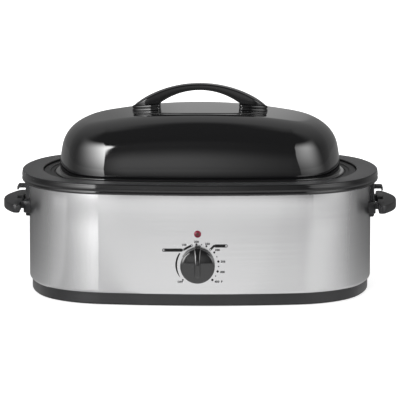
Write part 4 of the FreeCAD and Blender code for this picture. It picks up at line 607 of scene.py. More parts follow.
def white_moulding():
    body = Finish("white_moulding")
    mottle = body.cloud(180, 3)
    tone = body.blend(mottle.step(0.3, 0.8) * 0.5, (0.68, 0.66, 0.60), (0.60, 0.57, 0.50))
    return body.end(Base_Color=tone, Roughness=0.45 + mottle * 0.15,
                    Normal=body.relief(body.cloud(1400), 0.01 * MM))


def lead_braid():
    braid = Finish("lead_braid")
    weave = braid.cells(1400, stretch=(1, 1, 0.5))
    dust = braid.cloud(90, 3)
    tone = braid.blend(weave * 0.6 + dust * 0.3, (0.55, 0.52, 0.45), (0.36, 0.33, 0.27))
    return braid.end(Base_Color=tone, Roughness=0.75 + dust * 0.1, Normal=braid.relief(weave, 0.12 * MM))


dress(white_moulding(), "thermostat_body", "terminal_block")
dress(lead_braid(), "live_lead", "neutral_lead", "fuse_leads", "lamp_leads")
dress(plated_steel("aluminium_can", (0.68, 0.68, 0.69)), "thermal_fuse")
dress(zinc, "thermostat_screws", "terminal_block_screws", "thermostat_shaft", "knob_spring_clip")
dress(plated_steel("plain_brass", (0.72, 0.55, 0.26)), "earth_screw", "earth_nut")

# ---- Pilot lamp ------------------------------------------------------------------------------
# A small bulb glows behind a red lens that snaps into the steel, held by a spring clip behind. The
# lens is clear red plastic, moulded with fine facets, and its middle looks dark when the lamp is off.
LAMP_Z = 112.0
dress(plated, "pilot_lamp_clip")


def bulb_glass():
    glass = Finish("bulb_glass")
    smoke = glass.cloud(200, 2)
    tone = glass.blend(smoke, (0.95, 0.88, 0.80), (0.8, 0.62, 0.5))
    return glass.end(Base_Color=tone, Roughness=0.03 + smoke * 0.05, Transmission_Weight=0.9, IOR=1.5)


def red_lens():
    lens = Finish("red_lamp_lens")
    x, y, z = lens.place.axes()
    height = z - LAMP_Z * MM
    reach = x.math("SQRT", x * x + height * height)
    ring = reach.step(0.0018, 0.0036)
    facets = lens.cells(800)
    dark = lens.blend(facets, (0.050, 0.022, 0.020), (0.14, 0.045, 0.045))
    tone = lens.blend(ring, dark, (0.22, 0.010, 0.035))
    return lens.end(Base_Color=tone, Roughness=0.30 + facets * 0.1, Specular_IOR_Level=0.3, Coat_Weight=0.15,
                    Normal=lens.relief(facets, 0.05 * MM))


dress(bulb_glass(), "pilot_lamp_bulb")
dress(red_lens(), "pilot_lamp_lens")

# ---- Mains entry -----------------------------------------------------------------------------
# A black gland with a tapering sleeve passes through the back of the steel and is held by a nut
# inside. Its sleeve carries moulded rings, so that it bends easily.
dress(satin_black, "cord_gland", "gland_nut")


RIBS = 7
RIB_THICKNESS = 0.75
SLEEVE_START, SLEEVE_LENGTH, SLEEVE_Z = 189.6, 15.6, 42.0
SLEEVE_RADIUS, SLEEVE_TAPER = 7.8, 2.0


def rib_tree():
    """Rings on the points of a mesh, facing +Y; each point's girth is its ring's radius."""
    start, port = tree_with("ribs_on_sleeve", Geometry="Geometry", Thickness="Float", Finish="Material")
    path = start.node("GeometryNodeCurvePrimitiveCircle", {}, {"Resolution": 48, "Radius": 1.0})
    girth = carried(start, "girth")
    size = start.node("ShaderNodeCombineXYZ", {}, {axis: girth for axis in "XYZ"})
    placed = start.node("GeometryNodeInstanceOnPoints", {},
                        {"Points": port["Geometry"], "Instance": path, "Scale": size,
                         "Rotation": Vector((math.pi / 2, 0, 0))})
    loops = start.node("GeometryNodeRealizeInstances", {}, {"Geometry": placed})
    profile = start.node("GeometryNodeCurvePrimitiveCircle", {},
                         {"Resolution": 10, "Radius": port["Thickness"]})
    ribs = start.node("GeometryNodeCurveToMesh", {}, {"Curve": loops, "Profile Curve": profile})
    return finished(start, ribs, port["Finish"])


def sleeve_ribs():
    parts = [step / (RIBS - 1) for step in range(RIBS)]
    places = [Vector((0, SLEEVE_START + SLEEVE_LENGTH * part, SLEEVE_Z)) * MM for part in parts]
    girths = [(SLEEVE_RADIUS - SLEEVE_TAPER * part) * MM for part in parts]
    return grown("sleeve_ribs", rib_tree(), places, ("girth", "FLOAT", girths),
                 {"Thickness": RIB_THICKNESS * MM, "Finish": satin_black}, "cabinet")


settled(sleeve_ribs(), "black_moulding", sharp=60)

# ---- Side handles ----------------------------------------------------------------------------
# Each end has one black phenolic moulding: a back plate bent to the steel, two blocks with arms to a
# flat tab for the fingers, and a hook for the lid's edge. Screws hold it from inside the wrap.
PLATE_LOW, PLATE_HIGH, PLATE_THICK = 114.6, 169.2, 6.0
PLATE_HALF_LOW, PLATE_HALF_HIGH = 29.0, 24.0
BLOCK_LOW, BLOCK_HIGH, BLOCK_INNER, BLOCK_OUTER = 122.5, 141.5, 26.0, 49.0
BLOCK_FRONT = 271.6
TAB_LOW, TAB_HIGH, TAB_INNER, TAB_OUTER = 126.6, 140.4, 275.3, 304.9
TAB_HALF, TAB_RADIUS, TAB_CORNER = 78.0, 162.0, 8.5
NOTCH_DEPTH, NOTCH_HALF = 8.5, 13.5
HOOK_TOP, HOOK_THICK, HOOK_END, HOOK_LIP, HOOK_HALF = 160.5, 4.4, 283.9, 153.2, 12.5
ARM_NEAR, ARM_FAR = 33.0, 48.0


def round_corner(centre, radius, first, last, count):
    """Points on an arc of a section, from one angle to another in degrees."""
    turns = [math.radians(first + (last - first) * step / count) for step in range(count + 1)]
    return [(centre[0] + radius * math.cos(turn), centre[1] + radius * math.sin(turn)) for turn in turns]


def lofted(rings):
    """Closed rings of points joined one to the next, with flat ends."""
    width = len(rings[0])
    faces = [(row * width + place, row * width + (place + 1) % width, (row + 1) * width + (place + 1) % width,
              (row + 1) * width + place) for row in range(len(rings) - 1) for place in range(width)]
    faces += [tuple(range(width)), tuple(range((len(rings) - 1) * width, len(rings) * width))]
    return [point for ring in rings for point in ring], faces


def joined(first, *others):
    """One object from several; the others are taken up."""
    work = bmesh.new()
    work.from_mesh(first.data)
    for other in others:
        work.from_mesh(other.data)
        bpy.data.objects.remove(other)
    work.to_mesh(first.data)
    work.free()
    return first


def wall_at(y):
    """The steel's end at this y, in millimetres."""
    return HALF_LENGTH - END_RADIUS + math.sqrt(END_RADIUS ** 2 - y ** 2)


def soft_levels(low, high, edge):
    """Levels from low to high, each with how far its outline is drawn in, for a rounded edge."""
    drawn = [(0.0, edge), (edge * 0.3, edge * 0.3), (edge, 0.0)]
    return [(low + rise, inset) for rise, inset in drawn] + \
        [(high - rise, inset) for rise, inset in drawn[::-1]]


def handle_plate():
    rings, levels = [], soft_levels(PLATE_LOW, PLATE_HIGH, 1.4)
    for z, inset in levels:
        part = min(1.0, max(0.0, (z - BLOCK_HIGH) / (PLATE_HIGH - BLOCK_HIGH)))
        half = PLATE_HALF_LOW + (PLATE_HALF_HIGH - PLATE_HALF_LOW) * part - inset
        across = [-half + half * step / 6 for step in range(13)]
        outside = [(wall_at(y) + PLATE_THICK - inset, y * (1 - 1.2 / half)) for y in across[::-1]]
        outside = [(outside[0][0] - 1.2, half)] + outside + [(outside[0][0] - 1.2, -half)]
        rings.append([(wall_at(y) + 0.2, y) for y in across] + outside)
    return rings, [z for z, inset in levels]


def handle_block(side):
    rings, levels = [], []
    for z, inset in soft_levels(BLOCK_LOW, BLOCK_HIGH, 1.6):
        inner, outer = BLOCK_INNER + inset, BLOCK_OUTER - inset
        across = [inner + (outer - inner) * step / 6 for step in range(7)]
        face = BLOCK_FRONT - inset
        front = [(face, inner), (face, outer - 2.0), (face - 0.6, outer - 0.6), (face - 2.0, outer)]
        rings.append([(x, side * y) for x, y in front + [(wall_at(y) + 0.2, y) for y in across[::-1]]])
        levels.append(z)
    return rings, levels


def handle_arm(side):
    near, far = side * ARM_NEAR, side * ARM_FAR
    start, end = BLOCK_FRONT - 1.0, TAB_INNER + 3.0
    return [[(start, near), (end, near), (end, far), (start, far)]] * 2, [TAB_LOW + 3.0, TAB_HIGH - 1.0]


def tab_plan(inset):
    half, bend, corner = TAB_HALF - inset, TAB_RADIUS - inset, TAB_CORNER - inset
    middle = TAB_OUTER - TAB_RADIUS
    corner_y = half - corner
    corner_x = middle + math.sqrt((bend - corner) ** 2 - corner_y ** 2)
    turn = math.degrees(math.asin(corner_y / (bend - corner)))
    edge = round_corner((corner_x, corner_y), corner, 90, turn, 8)
    arc = round_corner((middle, 0), bend, turn, -turn, 28)[1:-1]
    inner, notch, deep = TAB_INNER + inset, NOTCH_HALF + inset, TAB_INNER + NOTCH_DEPTH + inset
    back = [(inner, -half + 1.5), (inner, -notch - 0.8), (inner + 0.8, -notch), (deep, -notch), (deep, notch),
            (inner + 0.8, notch), (inner, notch + 0.8), (inner, half - 1.5), (inner + 1.5, half)]
    return edge + arc + [(x, -y) for x, y in edge[::-1]] + [(inner + 1.5, -half)] + back


def hook_profile(inset):
    """The hook from the side, as (x, z)."""
    top, low, end = HOOK_TOP - inset, HOOK_TOP - HOOK_THICK + inset, HOOK_END - inset
    start = wall_at(0) + 2.0
    lip = HOOK_LIP + inset
    return [(start, low), (start, top)] + round_corner((end - 3.0, top - 3.0), 3.0, 90, 0, 6) + \
        [(end, lip), (end - 2.4 + 2 * inset, lip), (end - 2.9 + 2 * inset, low)]


def side_handle(name, side, node):
    """The whole moulding for one end, as one object."""
    shells = [handle_plate(), handle_block(1), handle_block(-1), handle_arm(1), handle_arm(-1)]
    levels = soft_levels(TAB_LOW, TAB_HIGH, 2.2)
    shells.append(([tab_plan(inset) for z, inset in levels], [z for z, inset in levels]))
    solids = [[[Vector((side * x, y, z)) * MM for x, y in ring] for ring, z in zip(*shell)]
              for shell in shells]
    solids.append([[Vector((side * x, y, z)) * MM for x, z in hook_profile(inset)]
                   for y, inset in soft_levels(-HOOK_HALF, HOOK_HALF, 0.8)])
    parts = [mesh_object(name, *lofted(rings), None, handle_black) for rings in solids]
    whole = joined(parts[0], *parts[1:])
    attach(whole, "cabinet")
    settled(whole, "black_moulding", node)


handle_black = black_moulding("handle_moulding", 0.34, 0.015)
side_handle("right_grip", 1, "right_side_handle")
side_handle("left_grip", -1, "left_side_handle")
dress(handle_black, "left_side_handle", "right_side_handle")
dress(zinc, "side_handle_screws")

# ---- Top rim ---------------------------------------------------------------------------------
# The moulded rim caps the wrap and the liner's flange. Its top is grained and dull; its polished skirt
# leans in a little, has a shallow groove and ends in a rolled lip. Screws come up through the flange.
RIM_TOP, RIM_BOTTOM, RIM_REACH = 187.3, 170.4, 11.3
RIM_OPENING = -22.0
RIM_UNDERSIDE = 184.8
RIM_WALL = 2.5


def rim_moulding():
    rim = Finish("rim_moulding")
    facing = rim.node("ShaderNodeNewGeometry", out=1).axes()[2]
    grain = rim.cells(1300)
    flow = rim.cloud(16, 3)
    top = facing.step(0.86, 0.99)
    colour = rim.blend(top * 0.85 + flow.step(0.4, 0.75) * 0.1, (0.009, 0.009, 0.0095), (0.046, 0.046, 0.048))
    # Painted reflection: faces that point down, under the rolled lip, are made lighter grey, standing in for
    # the bright steel below.
    colour = rim.blend(facing.step(-0.45, -0.05, 1.0, 0.0), colour, (0.034, 0.034, 0.035))
    bump = rim.relief(grain * top, 0.03 * MM)
    bump = rim.relief(rim.cloud(38, 2), 0.03 * MM, bump)
    return rim.end(Base_Color=colour, Roughness=0.08 + top * 0.24 + flow * 0.03, Specular_IOR_Level=0.45,
                   Normal=bump)


def outline_angles(corner=40, side=26, end=20):
    """Angles round the outline, closer together on its tight corners."""
    angles = []
    for place, (centre, radius, first, last) in enumerate(ARCS):
        count = corner if place % 2 else (side if place in (2, 6) else end)
        angles += [first + (last - first) * step / count for step in range(count)]
    return angles


def swept_ring(section):
    """A closed section of (offset, height) carried round the outline."""
    angles = outline_angles()
    points = [outline_point(angle, offset, z) for angle in angles for offset, z in section]
    depth, count = len(section), len(angles)
    faces = []
    for ring in range(count):
        here, after = ring * depth, (ring + 1) % count * depth
        faces += [(here + row, after + row, after + (row + 1) % depth, here + (row + 1) % depth)
                  for row in range(depth)]
    return points, faces


def rim_section():
    reach, top, low = RIM_REACH, RIM_TOP, RIM_BOTTOM
    lip = round_corner((reach - 2.6, low + 3.3), 2.6, -80, 40, 8)
    groove = [(reach - 0.75, low + 5.9), (reach - 0.75, low + 6.5), (reach - 0.35, low + 7.2)]
    skirt = [(reach - 0.10, low + 8.4), (reach - 0.12, low + 9.6), (reach - 0.35, low + 12.0),
             (reach - 0.80, low + 14.4)]
    edge = round_corner((reach - 2.9, top - 2.1), 2.1, 8, 90, 8)
    mouth = round_corner((RIM_OPENING + 1.0, top - 1.0), 1.0, 90, 180, 5)
    inside = [(RIM_OPENING, RIM_UNDERSIDE), (RIM_OPENING + RIM_WALL, RIM_UNDERSIDE),
              (reach - RIM_WALL, RIM_UNDERSIDE), (reach - RIM_WALL, low + RIM_WALL), (0.3, low + RIM_WALL),
              (0.3, low)]
    return lip + groove + skirt + edge + mouth + inside


rim_cap = mesh_object("rim_cap", *swept_ring(rim_section()), "cabinet", rim_moulding())
settled(rim_cap, "black_moulding", "top_rim", sharp=40)
dress(satin_black, "top_rim")
dress(zinc, "rim_screws")

# ---- Printed dial ----------------------------------------------------------------------------
# Black ink screen-printed on the steel round the knob: a dot and a number every 50 degrees, small
# dots between, two plain bands and a tapering arc. The ink stands 0.05 mm proud and is baked on.
INK_PROUD = 0.05
DIAL_Z = 64.8
DIAL_RADIUS = 31.6
DEGREES_PER_FIFTY = 27.7
DIAL_END = 135.4                # the mark for 450, clockwise from the top
BIG_DOT, SMALL_DOT, OFF_DOT = 1.55, 0.95, 1.3       # radii
ARC_RADIUS, ARC_START, ARC_SWEEP, ARC_HALF_WIDTH = 32.2, -56, -69, 1.25


def baked_ink():
    ink = Finish("baked_black_ink")
    edge = ink.cloud(2500, 2)
    colour = ink.blend(edge.step(0.4, 0.8) * 0.4, (0.003, 0.003, 0.003), (0.008, 0.008, 0.008))
    return ink.end(Base_Color=colour, Roughness=0.5 + edge * 0.1, Specular_IOR_Level=0.25,
                   Normal=ink.relief(edge, 0.004 * MM))


black_ink = baked_ink()


def front_face(x):
    """The wrap's front at x, in millimetres."""
    return -(math.sqrt(SIDE_RADIUS ** 2 - x ** 2) - (SIDE_RADIUS - HALF_DEPTH))


def dial_mark(angle, radius):
    turn = math.radians(angle)
    return radius * math.sin(turn), DIAL_Z + radius * math.cos(turn)


def circle(x, z, radius, count=24):
    return [(x + radius * math.cos(math.tau * step / count), z + radius * math.sin(math.tau * step / count))
            for step in range(count)]


def ink_print(name, *flats):
    """Turns flat meshes on XY into thin closed layers that follow the steel, as one object."""
    work = bmesh.new()
    for flat in flats:
        work.from_mesh(flat)
    bmesh.ops.remove_doubles(work, verts=work.verts, dist=1e-4)
    for cut in range(-52, 53, 4):
        bmesh.ops.bisect_plane(work, geom=work.verts[:] + work.edges[:] + work.faces[:], plane_co=(cut, 0, 0),
                               plane_no=(1, 0, 0), dist=1e-5)
    bmesh.ops.triangulate(work, faces=work.faces[:])
    raised = bmesh.ops.extrude_face_region(work, geom=work.faces[:])
    top = {item for item in raised["geom"] if isinstance(item, bmesh.types.BMVert)}
    for vertex in work.verts:
        x, z = vertex.co.x, vertex.co.y
        proud = INK_PROUD if vertex in top else 0.002
        vertex.co = Vector((x, front_face(x) - proud, z)) * MM
    bmesh.ops.recalc_face_normals(work, faces=work.faces)
    mesh = bpy.data.meshes.new(name)
    work.to_mesh(mesh)
    work.free()
    mesh.materials.append(black_ink)
    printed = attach(linked(name, mesh), "cabinet")


def flat_mesh(holder):
    """The mesh of a curve or a text, whose own object goes."""
    mesh = plain_mesh(holder)
    bpy.data.objects.remove(holder)
    return mesh


def drawn(name, outlines):
    """A flat filled drawing; an outline inside another one is a hole."""
    curve = bpy.data.curves.new(name, "CURVE")
    curve.dimensions = "2D"
    curve.fill_mode = "BOTH"
    for outline in outlines:
        spline = curve.splines.new("POLY")
        spline.points.add(len(outline) - 1)
        for point, (x, z) in zip(spline.points, outline):
            point.co = (x, z, 0, 1)
        spline.use_cyclic_u = True
    return flat_mesh(linked(name, curve))


def band(points, width):
    """A ribbon of constant width along a bent line, with round ends."""
    half = width / 2
    line = [Vector(point) for point in points]
    left, right = [], []

    def cap(centre, way):
        base = math.atan2(way.y, way.x)
        return [centre + Vector((math.cos(base + turn), math.sin(base + turn))) * half
                for turn in (math.pi / 2 - math.pi * step / 10 for step in range(1, 10))]

    for index, point in enumerate(line):
        before = (point - line[index - 1]).normalized() if index else None
        after = (line[index + 1] - point).normalized() if index + 1 < len(line) else None
        way = ((before or after) + (after or before)).normalized()
        side = Vector((-way.y, way.x))
        reach = half / max(0.3, way.dot(before or after))
        left.append(point + side * reach)
        right.append(point - side * reach)
    ahead = cap(line[-1], (line[-1] - line[-2]).normalized())
    behind = cap(line[0], (line[0] - line[1]).normalized())
    return [tuple(point) for point in left + ahead + right[::-1] + behind]


def dots_and_arc():
    drawing = []
    for degrees in range(200, 451, 25):
        angle = DIAL_END - DEGREES_PER_FIFTY * (450 - degrees) / 50
        if degrees == 275:
            continue
        size = BIG_DOT if degrees % 50 == 0 else SMALL_DOT
        size *= 1.15 if degrees >= 350 and degrees % 50 == 0 else 1.0
        drawing.append(circle(*dial_mark(angle, DIAL_RADIUS), size))
    drawing.append(circle(*dial_mark(-DIAL_END, DIAL_RADIUS), OFF_DOT))
    steps = 28
    outer, inner = [], []
    for step in range(steps + 1):
        part = step / steps
        angle = ARC_START + ARC_SWEEP * part
        half = ARC_HALF_WIDTH * math.sin(math.pi * (0.16 + 0.84 * part)) ** 0.7 + 0.15
        outer.append(dial_mark(angle, ARC_RADIUS + half))
        inner.append(dial_mark(angle, ARC_RADIUS - half))
    return drawn("dial_marks", drawing + [outer + inner[::-1]])


def raised_band(points, width, holes):
    """One printed band, as (x, height above the knob's axis), with round holes where the steel shows."""
    outlines = [band(points, width)] + [circle(x, z, radius, 18) for x, z, radius in holes]
    return drawn("band", [[(x, DIAL_Z + z) for x, z in outline] for outline in outlines])


ink_print("dial_marks", dots_and_arc(),
          raised_band([(-51.0, 22.5), (-24.6, 22.8)], 4.9, [(-51.0, 22.5, 1.2)]),
          raised_band([(-21.6, 22.9), (-16.0, 26.3), (-8.8, 29.9)], 3.3,
                      [(-21.6, 22.9, 0.9), (-8.8, 29.9, 1.0)]),
          raised_band([(19.3, 23.8), (24.6, 29.3)], 3.3, [(19.3, 23.8, 0.9)]),
          raised_band([(27.4, 29.2), (42.8, 29.2)], 4.8, [(42.8, 29.2, 1.2)]))


def printed_word(word, x, z):
    text = bpy.data.curves.new(word, "FONT")
    text.body = word
    text.size = WORD_SIZE
    text.align_x = "CENTER"
    text.align_y = "CENTER"
    text.resolution_u = 4
    text.offset = 0.25
    text.space_character = 1.12
    mesh = flat_mesh(linked(word, text))
    mesh.transform(Matrix.Translation((x, z, 0)))
    return mesh


WORD_SIZE = 4.3
DIAL_WORDS = [("150", -20.3, 30.6), ("200", -1.8, 35.4), ("250", 14.8, 32.2), ("300", 29.7, 22.9),
              ("350", 38.1, 5.2), ("400", 37.2, -10.6), ("450", 29.1, -25.3), ("F", 36.3, -25.3),
              ("OFF", -26.2, -25.8)]
for word, x, z in DIAL_WORDS:
    label = "dial_fahrenheit" if word == "F" else "dial_" + word.lower()
    ink_print(label, printed_word(word, x, DIAL_Z + z))

# ---- Knob ------------------------------------------------------------------------------------
# A black gloss moulding, pushed onto the flat of the thermostat's shaft: a short skirt, a domed face
# and a raised grip across it that points up to the mark. It is hollow behind, with a boss in the middle.
KNOB_BACK, KNOB_RADIUS = 187.0, 26.2
FACE_RADIUS, FACE_HEIGHT = 102.0, 15.8   # the dome's radius, and its middle above the back edge
KNOB_EDGE = 3.6
GRIP_TOP, GRIP_BOTTOM = 28.0, -18.5
CREST_RADIUS = 56.0
GRIP_HALF_TOP, GRIP_HALF_BOTTOM = 4.9, 4.3


def gloss_moulding(name, roughness, level):
    gloss = Finish(name)
    flow = gloss.cloud(45, 3)
    colour = gloss.blend(flow.step(0.35, 0.75) * 0.5, (0.007, 0.007, 0.0075), (0.013, 0.013, 0.014))
    return gloss.end(Base_Color=colour, Roughness=roughness + flow * 0.04, Specular_IOR_Level=level,
                     Normal=gloss.relief(flow, 0.015 * MM))


def face_height(radius):
    return FACE_HEIGHT - FACE_RADIUS + math.sqrt(FACE_RADIUS ** 2 - radius ** 2)


def knob_points(points):
    """From a knob that stands on the ground to one on the wrap's front."""
    return [Vector((x, -KNOB_BACK - z, DIAL_Z + y)) * MM for x, y, z in points]


def knob_body():
    centre = KNOB_RADIUS - 0.1 - KNOB_EDGE
    middle = FACE_HEIGHT - FACE_RADIUS + math.sqrt((FACE_RADIUS - KNOB_EDGE) ** 2 - centre ** 2)
    lean = math.degrees(math.asin(centre / (FACE_RADIUS - KNOB_EDGE)))
    profile = [(radius, face_height(radius)) for radius in range(0, 23, 2)]
    profile += round_corner((centre, middle), KNOB_EDGE, 90 - lean, 0, 14)
    profile += [(KNOB_RADIUS, 0.6), (KNOB_RADIUS - 0.5, 0), (24.0, 0), (23.6, 6.0), (6.5, 6.0), (6.5, 0.2),
                (3.1, 0.2), (3.1, 13.0), (0, 13.0)]
    return turned(profile, 96)


def grip_rows():
    """Rows of points across the grip, from its tip to its foot, each closed along its base."""
    rows = []
    steps, across = 44, 22
    for step in range(steps + 1):
        part = step / steps
        height = GRIP_TOP + (GRIP_BOTTOM - GRIP_TOP) * part
        half = GRIP_HALF_TOP + (GRIP_HALF_BOTTOM - GRIP_HALF_TOP) * part
        foot = max(0.0, 1 - (height - GRIP_BOTTOM) / 6.0)
        tip = max(0.0, 1 - (GRIP_TOP - height) / 1.8)
        half *= math.sqrt(max(0.02, 1 - foot ** 2)) * (1 - 0.22 * tip ** 2)
        crest = 20.0 - CREST_RADIUS + math.sqrt(CREST_RADIUS ** 2 - height ** 2)
        crest -= 3.4 * foot ** 2 + 1.2 * tip ** 2
        low = 6.0
        side = max(low + 0.5, min(face_height(abs(height)) - 0.4, crest - 1.0))
        row = [(-half, height, low)]
        for turn in range(across + 1):
            angle = math.pi * turn / across
            row.append((-half * math.copysign(abs(math.cos(angle)) ** 0.6, math.cos(angle)), height,
                        side + (crest - side) * math.sin(angle) ** 0.6))
        row.append((half, height, low))
        rows.append(row)
    return rows


knob_gloss = gloss_moulding("gloss_black_moulding", 0.07, 0.8)
points, faces = knob_body()
knob_cap = mesh_object("knob_cap", knob_points(points), faces, None, knob_gloss)
points, faces = lofted(grip_rows())
joined(knob_cap, mesh_object("knob_grip", knob_points(points), faces, None, knob_gloss))
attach(knob_cap, "knob_and_shaft")
settled(knob_cap, "black_gloss_moulding", "knob", sharp=40)
dress(knob_gloss, "knob")

# ---- Roasting pan ----------------------------------------------------------------------------
# One deep drawn steel pan in black porcelain enamel with fine dark grey flecks. Its flange steps down
# twice to the well and hangs on the liner, so the pan lifts straight out.


def enamel(name, orange_peel, roughness, coat):
    glaze = Finish(name)
    peel = glaze.cloud(130, 1)
    fleck = glaze.cells(600)
    colour = glaze.blend(fleck.step(0.0, 0.12, 1.0, 0.0) * 0.5, (0.0075, 0.0075, 0.008),
                         (0.03, 0.03, 0.032))
    return glaze.end(Base_Color=colour, Roughness=roughness + peel * 0.03, Coat_Weight=coat,
                     Coat_Roughness=0.03, Normal=glaze.relief(peel, orange_peel * MM))


dress(enamel("pan_enamel", 0.03, 0.42, 0.0), "roasting_pan")

# ---- Rack ------------------------------------------------------------------------------------
# Chromed steel wire: an oval frame on two runners, thirteen cross wires welded on top of it and a
# bail handle at each end. It stands on the pan's floor.


def chromed_wire():
    wire = Finish("chromed_wire")
    haze = wire.cloud(150, 3)
    tone = wire.blend(haze.step(0.4, 0.8) * 0.4, (0.72, 0.73, 0.74), (0.52, 0.52, 0.53))
    return wire.end(Base_Color=tone, Metallic=1.0, Roughness=0.08 + haze * 0.12,
                    Normal=wire.relief(haze, 0.01 * MM))


chrome = chromed_wire()
dress(chrome, "rack_frame", "rack_runners", "rack_handles", "rack_wires")
RACK_INSET, WIRE_LEVEL, WIRE_RADIUS, WIRE_PITCH = 76.0, 47.8, 1.5, 26.0
WIRES_EACH_SIDE = 6


def rod_tree():
    """Round bars along Y through the points of a mesh; each point's reach is its bar's half length."""
    start, port = tree_with("bars_on_points", Geometry="Geometry", Radius="Float", Finish="Material")
    bar = start.node("GeometryNodeMeshCylinder", {}, {"Vertices": 16, "Radius": port["Radius"], "Depth": 2.0})
    size = start.node("ShaderNodeCombineXYZ", {}, {"X": 1.0, "Y": 1.0, "Z": carried(start, "reach")})
    placed = start.node("GeometryNodeInstanceOnPoints", {},
                        {"Points": port["Geometry"], "Instance": bar, "Scale": size,
                         "Rotation": Vector((math.pi / 2, 0, 0))})
    return finished(start, placed, port["Finish"])


def half_depth_at(x, offset):
    """Half the outline's depth at x, grown by the offset, in millimetres."""
    low, high = 0.0, math.pi / 2
    for halving in range(40):
        middle = (low + high) / 2
        if outline_point(middle, offset, 0).x / MM > x:
            low = middle
        else:
            high = middle
    return outline_point(low, offset, 0).y / MM


def rack_bars():
    steps = range(-WIRES_EACH_SIDE, WIRES_EACH_SIDE + 1)
    places = [Vector((step * WIRE_PITCH, 0, WIRE_LEVEL)) * MM for step in steps]
    reaches = [half_depth_at(abs(step) * WIRE_PITCH, -RACK_INSET) * MM for step in steps]
    return grown("rack_bars", rod_tree(), places, ("reach", "FLOAT", reaches),
                 {"Radius": WIRE_RADIUS * MM, "Finish": chrome}, "rack")


settled(rack_bars(), "chromed_wire", "rack_wires")

# ---- Lid -------------------------------------------------------------------------------------
# One pressed steel shell, enamelled black all over: a rolled lip that sits on the pan, a nearly
# upright wall that starts to lean as it rises, a wide shoulder, and a crown with a low oval pad.
lid_glaze = enamel("lid_enamel", 0.004, 0.03, 0.6)
LID_SEAT, LID_CROWN = 181.3, 281.0
LID_LIP_INSET, LID_WALL_INSET = 41.0, 48.0
LID_WALL_START = 186.4
LID_BEAD = 1.7                  # radius of the lip's edge and of the bend above it
LID_LEAN = math.radians(12)     # at the top of the wall
SHOULDER, CROWN_RADIUS, CROSS_RADIUS = 50.0, 900.0, 6000.0
LID_EASE = math.radians(7)      # the last of the shoulder, on a larger radius
EASE_RADIUS = 120.0
PAD_LENGTH, PAD_DEPTH, PAD_RISE = 105.0, 75.0, 0.5      # half sizes of the raised pad under the handle
LID_SHEET = 1.0


def crown_height(x, y):
    """The crown sags along its length and a little across it."""
    return LID_CROWN - CROWN_RADIUS + math.sqrt(CROWN_RADIUS ** 2 - x ** 2) - y ** 2 / (2 * CROSS_RADIUS)


def lid_section(angle):
    """The dome's outer face at this angle, as (offset, height) from the wall up to the crown."""
    end = -LID_WALL_INSET - 6.0
    for attempt in range(12):
        first = outline_point(angle, end - SHOULDER, 0) / MM
        second = outline_point(angle, end - SHOULDER - 1, 0) / MM
        slope = math.atan(crown_height(second.x, second.y) - crown_height(first.x, first.y))
        stop = math.pi / 2 - slope
        ease = stop - LID_EASE
        top = crown_height(first.x, first.y)
        ease_top = top - EASE_RADIUS * (math.sin(stop) - math.sin(ease))
        wall_top = ease_top - SHOULDER * (math.sin(ease) - math.sin(LID_LEAN))
        wall_radius = (wall_top - LID_WALL_START) / math.sin(LID_LEAN)
        lean = -LID_WALL_INSET - wall_radius * (1 - math.cos(LID_LEAN))
        eased = lean - SHOULDER * (math.cos(LID_LEAN) - math.cos(ease))
        end = eased - EASE_RADIUS * (math.cos(ease) - math.cos(stop)) + SHOULDER
    section = []
    for step in range(13):
        turn = LID_LEAN * step / 12
        section.append((-LID_WALL_INSET - wall_radius * (1 - math.cos(turn)),
                        LID_WALL_START + wall_radius * math.sin(turn)))
    for step in range(1, 27):
        turn = LID_LEAN + (ease - LID_LEAN) * step / 26
        section.append((lean - SHOULDER * (math.cos(LID_LEAN) - math.cos(turn)),
                        wall_top + SHOULDER * (math.sin(turn) - math.sin(LID_LEAN))))
    for step in range(1, 6):
        turn = ease + (stop - ease) * step / 5
        section.append((eased - EASE_RADIUS * (math.cos(ease) - math.cos(turn)),
                        ease_top + EASE_RADIUS * (math.sin(turn) - math.sin(ease))))
    return section


def lid_surface():
    lip = LID_SEAT + 3.0
    foot = [(-LID_LIP_INSET, LID_SEAT)]
    foot += round_corner((-LID_LIP_INSET - LID_BEAD, lip - LID_BEAD), LID_BEAD, 0, 90, 8)
    foot += round_corner((-LID_WALL_INSET + LID_BEAD, lip + LID_BEAD), LID_BEAD, 270, 180, 8)
    rings = []
    for angle in outline_angles():
        rings.append([outline_point(angle, offset, z) for offset, z in foot + lid_section(angle)])
    points, faces = [], []
    depth = len(rings[0])
    inner = [0.93, 0.84, 0.72, 0.58, 0.44, 0.3, 0.16, 0.07]
    for ring in rings:
        points += ring
        for part in inner:
            x, y = ring[-1].x / MM * part, ring[-1].y / MM * part
            points.append(Vector((x, y, crown_height(x, y))) * MM)
    depth += len(inner)
    centre = len(points)
    points.append(Vector((0, 0, LID_CROWN)) * MM)
    for index in range(len(rings)):
        here, after = index * depth, (index + 1) % len(rings) * depth
        faces += [(here + step, after + step, after + step + 1, here + step + 1) for step in range(depth - 1)]
        faces.append((here + depth - 1, after + depth - 1, centre))
    return points, faces


def with_modifier(made, kind, **settings):
    """Puts a modifier on a piece and keeps its result as the plain mesh."""
    modifier = made.modifiers.new(kind.lower(), kind)
    for name, value in settings.items():
        setattr(modifier, name, value)
    result = plain_mesh(made)
    made.modifiers.clear()
    made.data = result


